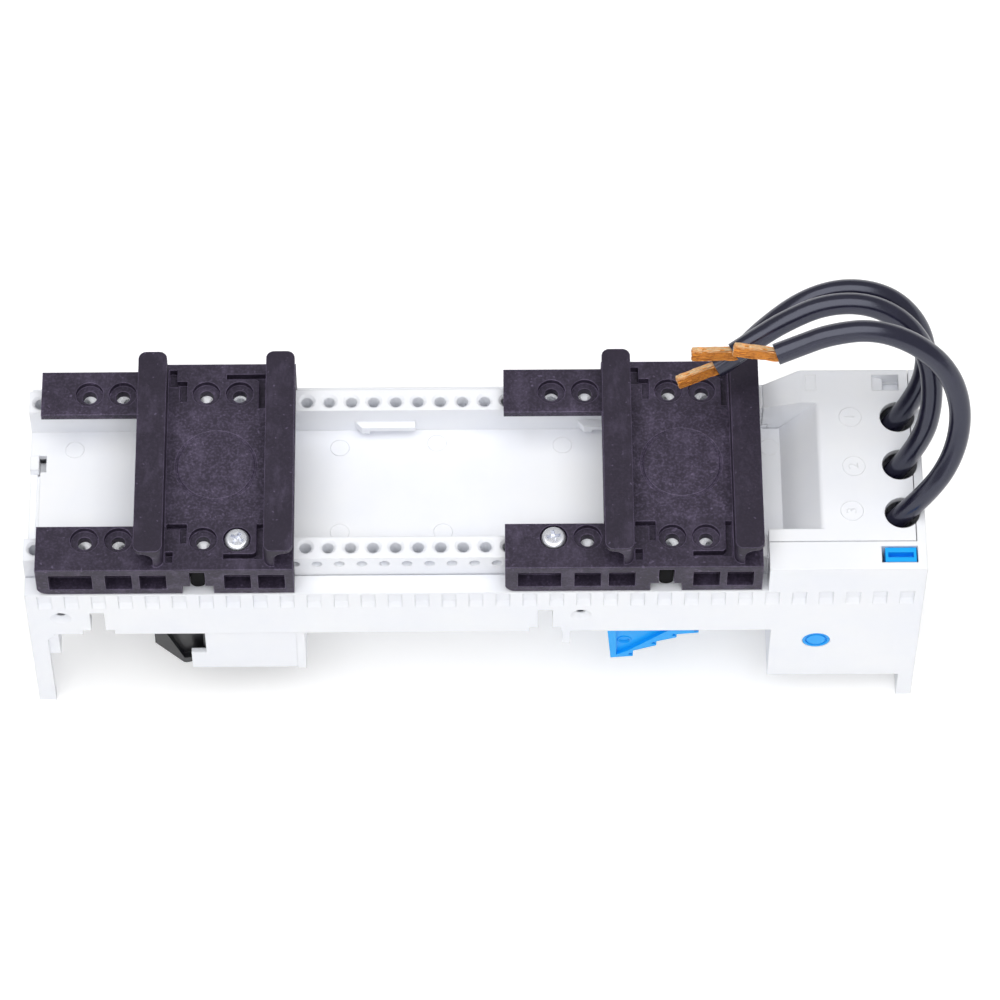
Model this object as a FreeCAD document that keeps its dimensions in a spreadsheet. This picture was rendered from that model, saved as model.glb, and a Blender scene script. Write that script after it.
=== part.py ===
import FreeCAD, Part
import math
import os
from types import SimpleNamespace

import Sketcher

# A three-pole busbar adapter: a grey moulded housing that clips on three busbars,
# with two black 35 mm rail carriers on top, a sprung latch, a blue locking lever with
# its release, three sprung contacts and three stranded wires.
# The origin is at the middle of the footprint, on the surface that the legs stand on.
# X runs along the housing to the terminal head, Y from the front wall to the rear wall.

DIMENSIONS = [
    # housing walls
    ("housing_length", 200.0),
    ("housing_width", 54.0),
    ("wall", 1.6),
    ("wall_foot", 30.4),
    ("ledge_height", 47.9),
    ("ledge_depth", 4.7),
    ("seat_depth", 2.4),
    ("cover_rib", 1.6),
    # row of shallow pockets along the walls
    ("wall_pocket_pitch", 6.0),
    ("wall_pocket_width", 3.1),
    ("wall_pocket_margin", 2.7),
    ("wall_pocket_depth", 0.8),
    ("wall_pocket_top", 0.7),
    ("wall_pocket_height", 3.9),
    ("wall_pocket_ramp", 1.6),
    # notches, tabs and side holes of the walls
    ("notch_start", 12.0),
    ("notch_step", 100.2),
    ("notch_width", 7.1),
    ("notch_lip", 1.7),
    ("notch_slot", 3.2),
    ("notch_height", 9.4),
    ("notch_sight", 6.0),
    ("tab_gap", 0.3),
    ("tab_length", 1.8),
    ("tab_drop", 5.5),
    ("side_hole_margin", 7.4),
    ("side_hole_step", 116.3),
    ("side_hole_height", 37.6),
    ("side_hole", 2.2),
    ("side_sink", 4.7),
    # legs at the far end
    ("leg_length", 3.9),
    ("leg_width", 14.0),
    ("leg_gusset", 1.6),
    ("leg_gusset_drop", 2.5),
    ("arch_radius", 5.0),
    ("stop_length", 2.4),
    ("stop_width", 7.0),
    ("stop_drop", 10.0),
    # terminal head
    ("head_length", 33.5),
    ("head_foot", 9.5),
    ("head_height", 57.1),
    ("head_leg_length", 3.5),
    ("head_end_wall", 2.0),
    ("head_floor", 20.0),
    ("turret_depth", 7.2),
    ("turret_wall", 1.2),
    ("head_window_depth", 36.0),
    # deck plate
    ("deck_clearance", 0.24),
    ("strip_top", 54.9),
    ("strip_width", 5.6),
    ("deck_floor", 46.5),
    ("deck_thickness", 1.6),
    ("raster_pitch", 5.0),
    ("raster_margin", 2.5),
    ("raster_inset", 8.0),
    ("raster_hole", 2.6),
    ("raster_sink", 3.8),
    ("raster_depth", 9.0),
    ("strip_eye", 2.3),
    ("strip_eye_drop", 2.4),
    ("strip_eye_depth", 2.0),
    ("deck_notch_left", 2.3),
    ("deck_notch_clip", 3.6),
    ("deck_notch_rear", 10.2),
    ("deck_notch_width", 4.3),
    ("deck_clip_length", 2.0),
    ("deck_clip_height", 0.6),
    ("retainer_start", 73.0),
    ("retainer_step", 50.2),
    ("retainer_length", 13.9),
    ("retainer_depth", 1.8),
    ("retainer_foot", 1.4),
    ("retainer_height", 2.4),
    ("retainer_undercut", 1.0),
    # terminal cover
    ("cover_overhang", 1.3),
    ("cover_slope", 8.5),
    ("cover_slope_drop", 2.2),
    ("cover_rear_inset", 2.0),
    ("cover_corner_length", 8.0),
    ("cover_corner_depth", 2.5),
    ("shoulder_inset", 4.0),
    ("shoulder_length", 8.0),
    ("shoulder_radius", 1.5),
    ("shoulder_wall", 2.0),
    ("cable_hole", 7.8),
    ("cable_inset", 5.0),
    ("lane_inset", 14.5),
    ("cover_window_length", 7.6),
    ("cover_window_width", 4.1),
    ("cover_window_inset", 1.3),
    # rail carriers
    ("carrier_length", 57.0),
    ("carrier_inset", 0.2),
    ("plate_thickness", 3.5),
    ("rail_width", 35.0),
    ("rail_height", 6.7),
    ("rail_inset", 1.0),
    ("flange_width", 6.4),
    ("flange_thickness", 1.2),
    ("flange_fillet", 2.5),
    ("flange_corner", 1.8),
    ("web_thickness", 2.2),
    ("arm_depth", 11.5),
    ("rear_arm_inset", 1.9),
    ("arm_overhang", 2.5),
    ("arm_edge", 1.8),
    ("skirt_gap", 0.3),
    ("skirt_corner", 2.5),
    ("carrier_hole_first", 10.75),
    ("carrier_hole_second", 7.5),
    ("carrier_hole_third", 26.25),
    ("carrier_hole_fourth", 33.75),
    ("carrier_hole", 3.2),
    ("carrier_bore", 6.2),
    ("carrier_bore_depth", 1.4),
    ("carrier_pocket_width", 5.9),
    ("carrier_pocket_wide", 9.6),
    ("carrier_pocket_height", 6.0),
    ("carrier_pocket_foot", 1.9),
    ("carrier_pocket_depth", 3.2),
    ("carrier_pocket_one", 2.8),
    ("carrier_pocket_two", 15.3),
    ("carrier_pocket_three", 22.9),
    ("carrier_pocket_four", 41.6),
    ("carrier_pocket_five", 49.1),
    ("carrier_notch", 32.2),
    ("carrier_notch_width", 7.0),
    ("carrier_notch_lip", 3.1),
    ("carrier_slot", 3.4),
    ("carrier_slot_height", 5.5),
    ("carrier_slot_top", 9.0),
    ("carrier_slit_depth", 2.0),
    ("carrier_ring", 18.0),
    ("carrier_ring_width", 0.35),
    ("carrier_ring_depth", 0.25),
    # carrier screws
    ("screw_head", 5.4),
    ("screw_head_height", 1.9),
    ("screw_shank", 2.4),
    ("screw_length", 8.0),
    # clearances
    ("sliding_clearance", 0.3),
    ("fitting_clearance", 0.2),
    ("running_clearance", 0.05),
    ("press_clearance", 0.02),
    # busbars and contacts
    ("bar_margin", 18.0),
    ("bar_offset", 12.5),
    ("contact_length", 12.0),
    ("contact_width", 8.4),
    ("contact_reach", 1.4),
    ("contact_edge", 1.0),
    ("shoulder_width", 1.4),
    ("shoulder_thickness", 1.6),
    ("tail_length", 2.0),
    ("tail_width", 5.0),
    ("barrel_diameter", 6.4),
    ("barrel_length", 8.0),
    ("barrel_sink", 0.6),
    ("contact_spring_diameter", 7.0),
    ("contact_spring_wire", 0.8),
    ("contact_spring_turns", 4.0),
    # latch and its guide
    ("guide_start", 39.2),
    ("guide_length", 22.5),
    ("guide_foot", 13.5),
    ("guide_inset", 0.7),
    ("guide_end_inset", 0.4),
    ("guide_wall", 1.2),
    ("guide_end_wall", 2.0),
    ("guide_lug_length", 3.4),
    ("guide_lug_height", 7.0),
    ("guide_rail_length", 12.5),
    ("guide_rail_depth", 1.5),
    ("nose_reach", 11.5),
    ("nose_width", 6.0),
    ("nose_face", 6.4),
    ("nose_tip", 6.3),
    ("nose_tip_drop", 2.1),
    ("nose_tip_radius", 1.0),
    ("nose_heel", 4.5),
    ("nose_rim", 1.2),
    ("nose_panel_depth", 1.5),
    ("slide_block_start", 6.3),
    ("slide_block_length", 7.0),
    ("latch_spring_diameter", 7.0),
    ("latch_spring_wire", 0.9),
    ("latch_spring_turns", 4.0),
    ("latch_spring_seat", 5.5),
    # locking lever: places are from the pivot
    ("pivot_offset", 26.5),
    ("pivot_height", 37.5),
    ("pin_diameter", 3.0),
    ("pin_boss", 7.0),
    ("pin_boss_length", 1.0),
    ("lever_thickness", 3.6),
    ("lever_gap", 0.4),
    ("lever_left", 10.8),
    ("lever_bay_margin", 4.8),
    ("lever_foot_left", 9.2),
    ("lever_foot", 23.0),
    ("lever_toe", 22.4),
    ("lever_shoulder", 1.5),
    ("lever_hub", 5.5),
    ("lever_hub_top", 4.0),
    ("lever_hub_radius", 2.5),
    ("tooth_one", 4.1),
    ("tooth_one_riser", 2.5),
    ("tooth_two", 1.1),
    ("tooth_two_drop", 17.5),
    ("tooth_two_riser", 1.8),
    ("tooth_three", 5.6),
    ("tooth_three_drop", 13.9),
    ("tooth_three_riser", 1.4),
    ("tooth_four", 10.5),
    ("tooth_four_drop", 11.8),
    ("tail_reach", 23.0),
    ("tail_top", 0.5),
    ("tail_thickness", 2.8),
    ("lever_panel_depth", 0.9),
    ("lever_mark", 2.2),
    ("lever_mark_left", 6.2),
    ("lever_mark_drop", 16.3),
    ("lever_mark_depth", 0.3),
    ("lever_rim", 1.3),
    ("lock_spring_diameter", 4.4),
    ("lock_spring_wire", 0.6),
    ("lock_spring_turns", 4.0),
    ("lock_spring_offset", 8.0),
    # release rocker and slide: places are from the trunnion
    ("trunnion_offset", 23.05),
    ("trunnion_height", 25.5),
    ("trunnion_diameter", 6.2),
    ("trunnion_recess", 0.1),
    ("trunnion_ring", 5.0),
    ("trunnion_ring_width", 0.4),
    ("journal_diameter", 4.0),
    ("rocker_hub", 5.0),
    ("rocker_nose", 16.95),
    ("rocker_nose_radius", 2.0),
    ("rocker_arm_width", 4.0),
    ("rocker_elbow", 7.5),
    ("rocker_tip", 16.05),
    ("rocker_tip_height", 4.5),
    ("release_window_length", 8.0),
    ("release_window_width", 4.2),
    ("release_window_inset", 1.8),
    ("release_left_gap", 0.8),
    ("release_recess", 0.3),
    ("release_slot_length", 5.6),
    ("release_slot_width", 1.3),
    ("release_slot_depth", 2.0),
    # wires
    ("wire_diameter", 4.8),
    ("wire_end_length", 10.0),
    ("wire_end_width", 2.8),
    ("wire_end_thickness", 1.8),
    ("wire_end_root", 1.5),
    ("mouth_depth", 0.8),
    ("wire_lead", 3.0),
]

# Raster holes that the carrier screws sit in, counted from the far end and from the head.
LEFT_SCREW_HOLE = 9
RIGHT_SCREW_HOLE = 10

# Narrow slots that free the screw pads of a carrier's plate: outlines (along, outwards), or with a radius
# where rounded, from the inner face of the nearer flange and from the row of holes.
LEFT_SLOT_REAR = [
    (0.3, 6.2), (1.4, 6.2), (1.4, 3.1), (3.8, 3.1), (3.8, -2.0), (2.8, -2.0), (2.8, 2.1), (0.3, 2.1)]
LEFT_SLOT_FRONT = [(0.5, -3.7), (4.7, -3.7), (4.7, 0.9), (3.7, 0.9), (3.7, -2.7), (0.5, -2.7)]
LEFT_POCKET_FRONT = [(0.3, 3.1), (2.0, 3.1), (2.0, 5.9), (0.3, 5.9)]
RIGHT_SLOT = [(-9.1, 3.9), (-1.4, 3.9, 2.0), (-1.4, -3.8), (-0.4, -3.8), (-0.4, 4.9), (-9.1, 4.9)]

# Share of the shorter run beside a bend of a wire that the bend's arc takes.
ARC_SHARE = 0.45

# Direction that the wide faces of the compacted wire ends look in, and where each end points.
STRAND_FACE = FreeCAD.Vector(0, -0.97, 0.24)
STRAND_HEADINGS = {
    "l1": (-0.934, -0.306, -0.184),
    "l2": (-1.0, -0.014, -0.009),
    "l3": (-0.992, 0.108, 0.065),
}

# Routes of the free wires, from the middle of each cable mouth (x, y, z), chosen by hand.
WIRE_ROUTES = {
    "l1": [(4.5, 1.5, 8.7), (6.0, 5.2, 17.5), (3.5, 9.2, 25.7), (-3.0, 12.2, 31.9), (-12.5, 12.9, 34.3),
           (-22.0, 11.2, 32.3), (-31.0, 7.3, 26.2), (-36.6, 4.3, 20.0), (-41.1, 2.5, 18.1)],
    "l2": [(4.5, 1.0, 9.2), (6.5, 5.5, 18.2), (5.5, 11.0, 27.2), (0.5, 15.5, 34.7), (-8.0, 18.0, 39.2),
           (-18.0, 17.6, 39.7), (-27.0, 14.9, 36.8), (-33.5, 12.2, 33.5), (-37.9, 9.9, 31.9)],
    "l3": [(6.0, 1.0, 8.7), (11.0, 6.0, 16.7), (12.0, 11.5, 26.2), (8.5, 15.5, 35.7), (1.0, 18.0, 42.7),
           (-8.5, 19.0, 46.7), (-18.0, 18.0, 46.1), (-24.6, 16.7, 43.6), (-29.4, 15.3, 42.5)],
}


class Size:
    """A length from the sheet, or one worked out from such lengths: its formula and its value."""

    def __init__(self, formula, value):
        self.formula = formula
        self.value = value

    def __add__(self, other):
        return Size(f"({self.formula} + {formula(other)})", self.value + value(other))

    def __radd__(self, other):
        return self + other

    def __sub__(self, other):
        return Size(f"({self.formula} - {formula(other)})", self.value - value(other))

    def __rsub__(self, other):
        return -self + other

    def __mul__(self, factor):
        return Size(f"({self.formula} * {formula(factor)})", self.value * value(factor))

    def __rmul__(self, factor):
        return self * factor

    def __truediv__(self, divisor):
        return Size(f"({self.formula} / {formula(divisor)})", self.value / value(divisor))

    def __neg__(self):
        return Size(f"(-{self.formula})", -self.value)


def formula(term):
    return term.formula if isinstance(term, Size) else str(float(term))


def value(term):
    return term.value if isinstance(term, Size) else float(term)


doc = FreeCAD.newDocument("busbar_adapter")
sheet = doc.addObject("Spreadsheet::Sheet", "Dims")
dim = SimpleNamespace()
for row, (alias, amount) in enumerate(DIMENSIONS, 1):
    sheet.set(f"A{row}", alias)
    sheet.set(f"B{row}", str(amount))
    sheet.setAlias(f"B{row}", alias)
    setattr(dim, alias, Size(f"Dims.{alias}", amount))
doc.recompute()

sub_parts = []


class Outline:
    """A closed outline in a sketch: corners (across, up), or (across, up, radius) where rounded."""

    def __init__(self, corners):
        self.corners = corners

    def draw(self, sketch):
        count = len(self.corners)
        points = [FreeCAD.Vector(value(c[0]), value(c[1]), 0) for c in self.corners]
        entries, exits = [], []
        for index, corner in enumerate(self.corners):
            arriving = (points[index] - points[index - 1]).normalize()
            leaving = (points[(index + 1) % count] - points[index]).normalize()
            radius = value(corner[2]) if len(corner) > 2 else 0.0
            reach = radius * math.tan(arriving.getAngle(leaving) / 2)
            entries.append(points[index] - arriving * reach)
            exits.append(points[index] + leaving * reach)
        lines = []
        for index in range(count):
            line = Part.LineSegment(exits[index], entries[(index + 1) % count])
            lines.append(sketch.addGeometry(line, False))
        for index, corner in enumerate(self.corners):
            before, after = lines[index - 1], lines[index]
            if len(corner) == 2:
                sketch.addConstraint(Sketcher.Constraint("Coincident", before, 2, after, 1))
                place(sketch, after, 1, corner)
                continue
            arriving = points[index] - points[index - 1]
            leaving = points[(index + 1) % count] - points[index]
            left_turn = arriving.cross(leaving).z > 0
            bisector = (leaving.normalize() - arriving.normalize()).normalize()
            half_turn = arriving.getAngle(leaving) / 2
            centre = points[index] + bisector * (value(corner[2]) / math.cos(half_turn))
            middle = centre - bisector * value(corner[2])
            arc = Part.Arc(entries[index], middle, exits[index])
            if not left_turn:
                arc = Part.Arc(exits[index], middle, entries[index])
            round_corner = sketch.addGeometry(arc, False)
            sharp_corner = sketch.addGeometry(Part.Point(points[index]), True)
            arc_entry, arc_exit = (1, 2) if left_turn else (2, 1)
            sketch.addConstraint(Sketcher.Constraint("Tangent", before, 2, round_corner, arc_entry))
            sketch.addConstraint(Sketcher.Constraint("Tangent", round_corner, arc_exit, after, 1))
            sketch.addConstraint(Sketcher.Constraint("PointOnObject", sharp_corner, 1, before))
            sketch.addConstraint(Sketcher.Constraint("PointOnObject", sharp_corner, 1, after))
            place(sketch, sharp_corner, 1, corner)
            bind(sketch, Sketcher.Constraint("Radius", round_corner, value(corner[2])), corner[2])


class Circle:
    """A circle in a sketch."""

    def __init__(self, across, up, diameter):
        self.centre = (across, up)
        self.diameter = diameter

    def draw(self, sketch):
        middle = FreeCAD.Vector(value(self.centre[0]), value(self.centre[1]), 0)
        ring = Part.Circle(middle, FreeCAD.Vector(0, 0, 1), value(self.diameter) / 2)
        index = sketch.addGeometry(ring, False)
        place(sketch, index, 3, self.centre)
        bind(sketch, Sketcher.Constraint("Diameter", index, value(self.diameter)), self.diameter)


def bind(sketch, constraint, term):
    """Add a constraint whose size follows the sheet."""
    index = sketch.addConstraint(constraint)
    sketch.setExpression(f"Constraints[{index}]", formula(term))


def place(sketch, geometry, end, spot):
    """Tie one point of a sketch to its two distances from the origin."""
    across, up = spot[0], spot[1]
    bind(sketch, Sketcher.Constraint("DistanceX", -1, 1, geometry, end, value(across)), across)
    bind(sketch, Sketcher.Constraint("DistanceY", -1, 1, geometry, end, value(up)), up)


def rectangle(low_across, low_up, high_across, high_up):
    return Outline([
        (low_across, low_up), (high_across, low_up), (high_across, high_up), (low_across, high_up)])


def rounding(x, y, along, depth, radius):
    """What is cut off a square corner to round it: along and depth point into the material."""
    margin = dim.fitting_clearance
    return Outline([
        (x - along * margin, y - depth * margin), (x + along * (radius + margin), y - depth * margin),
        (x + along * (radius + margin), y), (x, y, radius), (x, y + depth * (radius + margin)),
        (x - along * margin, y + depth * (radius + margin))])


class Piece:
    """One moulded or pressed sub-part, built from pads and pockets of its own sketches."""

    def __init__(self, label):
        self.body = doc.addObject("PartDesign::Body", label)
        self.body.Label = label
        self.body.AllowCompound = True
        sub_parts.append(self.body)

    def sketch(self, plane, offset, shapes):
        support = [f for f in self.body.Origin.OriginFeatures if f.Role == plane + "_Plane"][0]
        sketch = self.body.newObject("Sketcher::SketchObject", self.body.Label + "_sketch")
        sketch.AttachmentSupport = [(support, "")]
        sketch.MapMode = "FlatFace"
        sketch.setExpression("AttachmentOffset.Base.z", formula(offset))
        for shape in shapes:
            shape.draw(sketch)
        return sketch

    def pad(self, plane, low, high, *shapes):
        """Solid between two places along the plane's own axis."""
        sketch = self.sketch(plane, -high if plane == "XZ" else low, shapes)
        feature = self.body.newObject("PartDesign::Pad", self.body.Label + "_pad")
        feature.Profile = sketch
        feature.setExpression("Length", formula(high - low))
        return feature

    def pocket(self, plane, low, high, *shapes):
        """Cut between two places along the plane's own axis."""
        sketch = self.sketch(plane, -low if plane == "XZ" else high, shapes)
        feature = self.body.newObject("PartDesign::Pocket", self.body.Label + "_pocket")
        feature.Profile = sketch
        feature.setExpression("Length", formula(high - low))
        return feature

    def row(self, features, axis, pitch, count):
        """Repeat features along an axis of the first one's sketch."""
        pattern = self.body.newObject("PartDesign::LinearPattern", self.body.Label + "_row")
        pattern.Originals = features
        pattern.Direction = (features[0].Profile[0], [axis])
        pattern.Occurrences = count
        pattern.setExpression("Length", formula(pitch * (count - 1)))
        self.body.Tip = pattern
        return pattern


# Places that several pieces share
left = -dim.housing_length / 2
right = dim.housing_length / 2
front = -dim.housing_width / 2
rear = dim.housing_width / 2
head_left = right - dim.head_length
head_right = right - dim.head_end_wall
deck_bottom = dim.deck_floor - dim.deck_thickness
seat_bottom = deck_bottom - dim.wall
cover_top = dim.wall_foot + dim.wall
strip_inset = dim.ledge_depth + dim.deck_clearance
terminal_left = head_left - dim.cover_overhang
strip_right = terminal_left - dim.deck_clearance
raster_first = left + dim.raster_margin
raster_count = int((strip_right - raster_first).value // dim.raster_pitch.value) + 1
plate_top = dim.strip_top + dim.plate_thickness
cable_x = right - dim.cable_inset
chamber_rear = front + dim.turret_depth - dim.turret_wall
lever_front = front + dim.wall + dim.lever_gap
lever_rear = lever_front + dim.lever_thickness
pivot_x = head_left - dim.pivot_offset
lever_bay_left = pivot_x - dim.lever_left - dim.lever_bay_margin
trunnion_x = right - dim.trunnion_offset
release_left = head_right - dim.release_window_length
# the outer busbars lie beside the head and beside the far legs, the middle one halfway
bar_x = {"l1": head_left - dim.bar_offset, "l3": left + dim.bar_margin}
bar_x["l2"] = (bar_x["l1"] + bar_x["l3"]) / 2
lane_y = {"l1": rear - dim.lane_inset, "l2": 0.0, "l3": front + dim.lane_inset}
contact_top = cover_top + dim.sliding_clearance + dim.shoulder_thickness
barrel_z = contact_top + dim.barrel_diameter / 2 - dim.barrel_sink
mouth_z = dim.head_height - dim.mouth_depth


def across(side, inset):
    """Y at an inset from the front wall (side -1) or from the rear wall (side 1)."""
    return front + inset if side < 0 else rear - inset


def ordered(first, second):
    return (first, second) if value(first) < value(second) else (second, first)


def base_frame():
    piece = Piece("base_frame")
    below_ledge = dim.ledge_height - dim.wall
    rib_top = cover_top + dim.wall
    seat_inset = dim.ledge_depth + dim.seat_depth
    fold_inset = dim.ledge_depth - dim.wall
    rib_inset = dim.wall + dim.cover_rib
    for side in (-1, 1):
        # side wall with its ledge, the seat of the deck plate and the rib of the bottom cover
        section = [
            (0, dim.wall_foot), (0, dim.ledge_height), (dim.ledge_depth, dim.ledge_height),
            (dim.ledge_depth, deck_bottom), (seat_inset, deck_bottom), (seat_inset, seat_bottom),
            (fold_inset, seat_bottom), (fold_inset, below_ledge), (dim.wall, below_ledge),
            (dim.wall, rib_top), (rib_inset, rib_top), (rib_inset, cover_top), (dim.wall, cover_top),
            (dim.wall, dim.wall_foot),
        ]
        piece.pad("YZ", left, head_left, Outline([(across(side, inset), up) for inset, up in section]))
        # corner leg along the wall, with a gusset under the wall's edge
        leg_right = left + dim.leg_length
        gusset = leg_right + dim.leg_gusset
        low, high = ordered(across(side, 0), across(side, dim.wall))
        piece.pad("XZ", low, high, Outline([
            (left, 0), (leg_right, 0), (leg_right, dim.wall_foot - dim.leg_gusset_drop),
            (gusset, dim.wall_foot - dim.leg_gusset_drop + dim.leg_gusset), (gusset, cover_top),
            (left, cover_top),
        ]))
    # far end wall, arched between the legs, that the deck plate rests on, with a clip for the plate
    leg_inner = front + dim.leg_width
    arch_top = dim.wall_foot - dim.wall
    ledge_inner = front + dim.ledge_depth
    piece.pad("YZ", left, left + dim.wall, Outline([
        (front, 0), (leg_inner, 0), (leg_inner, arch_top, dim.arch_radius),
        (-leg_inner, arch_top, dim.arch_radius), (-leg_inner, 0), (rear, 0), (rear, dim.ledge_height),
        (-ledge_inner, dim.ledge_height), (-ledge_inner, deck_bottom), (ledge_inner, deck_bottom),
        (ledge_inner, dim.ledge_height), (front, dim.ledge_height),
    ]))
    clip_rear = dim.deck_notch_rear - dim.sliding_clearance
    clip_front = dim.deck_notch_rear - dim.deck_notch_width + dim.sliding_clearance
    piece.pad("XZ", clip_front, clip_rear, rectangle(
        left, seat_bottom, left + dim.deck_clip_length, dim.deck_floor + dim.deck_clip_height))
    # terminal head: outer block, then its release chamber and its terminal chamber
    piece.pad("YZ", head_left, right, Outline([
        (front, dim.head_foot), (rear, dim.head_foot), (rear, dim.ledge_height),
        (front + dim.turret_depth, dim.ledge_height), (front + dim.turret_depth, dim.head_height),
        (front, dim.head_height),
    ]))
    piece.pad("YZ", terminal_left, head_left, rectangle(
        front, dim.ledge_height, front + dim.turret_depth, dim.head_height))
    piece.pad("YZ", head_right, right, rectangle(
        front, dim.ledge_height - dim.wall, rear - dim.cover_rear_inset, dim.head_height))
    chamber_left = head_left + dim.wall
    chamber_front = front + dim.wall
    piece.pocket("XZ", chamber_front, chamber_rear,
                 rectangle(chamber_left, dim.head_foot + dim.wall, head_right, deck_bottom))
    window_front = front + dim.release_window_inset
    piece.pocket("XZ", window_front, window_front + dim.release_window_width,
                 rectangle(release_left, deck_bottom - dim.wall, head_right, dim.head_height + dim.wall))
    turret_rear = front + dim.turret_depth
    piece.pocket("XY", dim.head_floor, dim.head_height,
                 rectangle(chamber_left, turret_rear, head_right, rear - dim.wall))
    piece.pocket("XY", dim.head_foot - dim.wall, dim.head_floor - dim.wall,
                 rectangle(chamber_left, turret_rear, right - dim.head_leg_length, rear - dim.wall))
    # legs under the head
    for low, high in ((front, leg_inner), (-leg_inner, rear)):
        piece.pad("XY", 0.0, dim.head_foot, rectangle(right - dim.head_leg_length, low, right, high))
    # low wall under the end of the deck floor, between the strips
    floor_edge = front + strip_inset + dim.strip_width
    piece.pocket("YZ", head_left - dim.wall, chamber_left + dim.wall,
                 rectangle(floor_edge, deck_bottom, -floor_edge, dim.head_height))
    # windows from the wall space into the head: rocker arm and wires
    window_top = seat_bottom
    piece.pocket("YZ", head_left - dim.wall, chamber_left + dim.wall,
                 rectangle(chamber_front, cover_top + dim.sliding_clearance, chamber_rear, window_top),
                 rectangle(-dim.head_window_depth / 2, cover_top, dim.head_window_depth / 2, window_top))
    # space for the lever in the front rib, and the rib that carries its pin
    bay_rear = front + rib_inset + dim.fitting_clearance
    piece.pocket("XY", cover_top - dim.fitting_clearance, rib_top + dim.fitting_clearance,
                 rectangle(lever_bay_left, front + dim.wall, head_left, bay_rear))
    piece.pad("XZ", chamber_rear, front + dim.turret_depth,
              rectangle(pivot_x - dim.pin_boss, rib_top, head_left + dim.wall, deck_bottom - dim.wall / 2))
    piece.pad("XZ", front + dim.turret_depth, front + dim.turret_depth + dim.pin_boss_length,
              Circle(pivot_x, dim.pivot_height, dim.pin_boss))
    piece.pocket("XZ", front + dim.wall, front + dim.turret_depth + dim.pin_boss_length,
                 Circle(pivot_x, dim.pivot_height, dim.pin_diameter + 2 * dim.press_clearance))
    # stop ribs beside the far legs
    stop_right = left + dim.leg_length + dim.stop_length
    for side in (-1, 1):
        low, high = ordered(across(side, dim.wall / 2), across(side, dim.wall + dim.stop_width))
        piece.pad("XY", dim.wall_foot - dim.stop_drop, dim.wall_foot, rectangle(left, low, stop_right, high))
    # notches, hanging tabs and countersunk holes of both walls
    for side in (-1, 1):
        low, high = ordered(across(side, -dim.wall), across(side, rib_inset + dim.fitting_clearance))
        face_low, face_high = ordered(across(side, 0), across(side, dim.wall))
        for step in range(2):
            start = left + dim.notch_start + step * dim.notch_step
            end = start + dim.notch_width
            slot_left = (start + end) / 2 - dim.notch_slot / 2
            slot_right = slot_left + dim.notch_slot
            lip = dim.wall_foot + dim.notch_lip
            top = dim.wall_foot + dim.notch_height
            piece.pocket("XZ", low, high, Outline([
                (start, dim.wall_foot - dim.wall), (end, dim.wall_foot - dim.wall), (end, lip),
                (slot_right, lip), (slot_right, top), (slot_left, top), (slot_left, lip), (start, lip),
            ]))
            hole_x = left + dim.side_hole_margin + step * dim.side_hole_step
            piece.pocket("XZ", low, high, Circle(hole_x, dim.side_hole_height, dim.side_hole))
            sink = piece.pocket("XZ", face_low, face_high, Circle(
                hole_x, dim.side_hole_height, dim.side_sink))
            sink.setExpression("Length", formula((dim.side_sink - dim.side_hole) / 2))
            sink.TaperAngle = -45
            if side > 0:
                sink.Profile[0].setExpression("AttachmentOffset.Base.z", formula(-rear))
                sink.Reversed = True
        tab_left = left + dim.notch_start + dim.notch_step + dim.notch_width + dim.tab_gap
        piece.pad("XZ", face_low, face_high, rectangle(
            tab_left, dim.wall_foot - dim.tab_drop, tab_left + dim.tab_length, dim.wall_foot + dim.wall))
    # bores of the rocker's trunnion and journal
    piece.pocket("XZ", front - dim.wall, chamber_front,
                 Circle(trunnion_x, dim.trunnion_height, dim.trunnion_diameter + 2 * dim.running_clearance))
    piece.pocket("XZ", chamber_rear, front + dim.turret_depth,
                 Circle(trunnion_x, dim.trunnion_height, dim.journal_diameter + 2 * dim.running_clearance))
    # cable mouths shared with the terminal cover
    piece.pocket("XY", dim.ledge_height, dim.head_height + dim.wall,
                 *[Circle(cable_x, lane, dim.cable_hole) for lane in lane_y.values()])
    # rows of shallow pockets along both walls
    pocket_run = dim.housing_length - dim.wall_pocket_margin
    pocket_count = int(pocket_run.value // dim.wall_pocket_pitch.value) + 1
    pocket_left = left + dim.wall_pocket_margin
    pocket_top = dim.ledge_height - dim.wall_pocket_top
    pocket_low = pocket_top - dim.wall_pocket_height
    for side in (-1, 1):
        outside = across(side, -dim.wall)
        deep = across(side, dim.wall_pocket_depth)
        slope = pocket_low - dim.wall_pocket_ramp * (1 + dim.wall / dim.wall_pocket_depth)
        pocket = piece.pocket("YZ", pocket_left, pocket_left + dim.wall_pocket_width, Outline([
            (outside, pocket_top), (deep, pocket_top), (deep, pocket_low), (outside, slope)]))
        piece.row([pocket], "N_Axis", dim.wall_pocket_pitch, pocket_count)


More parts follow.
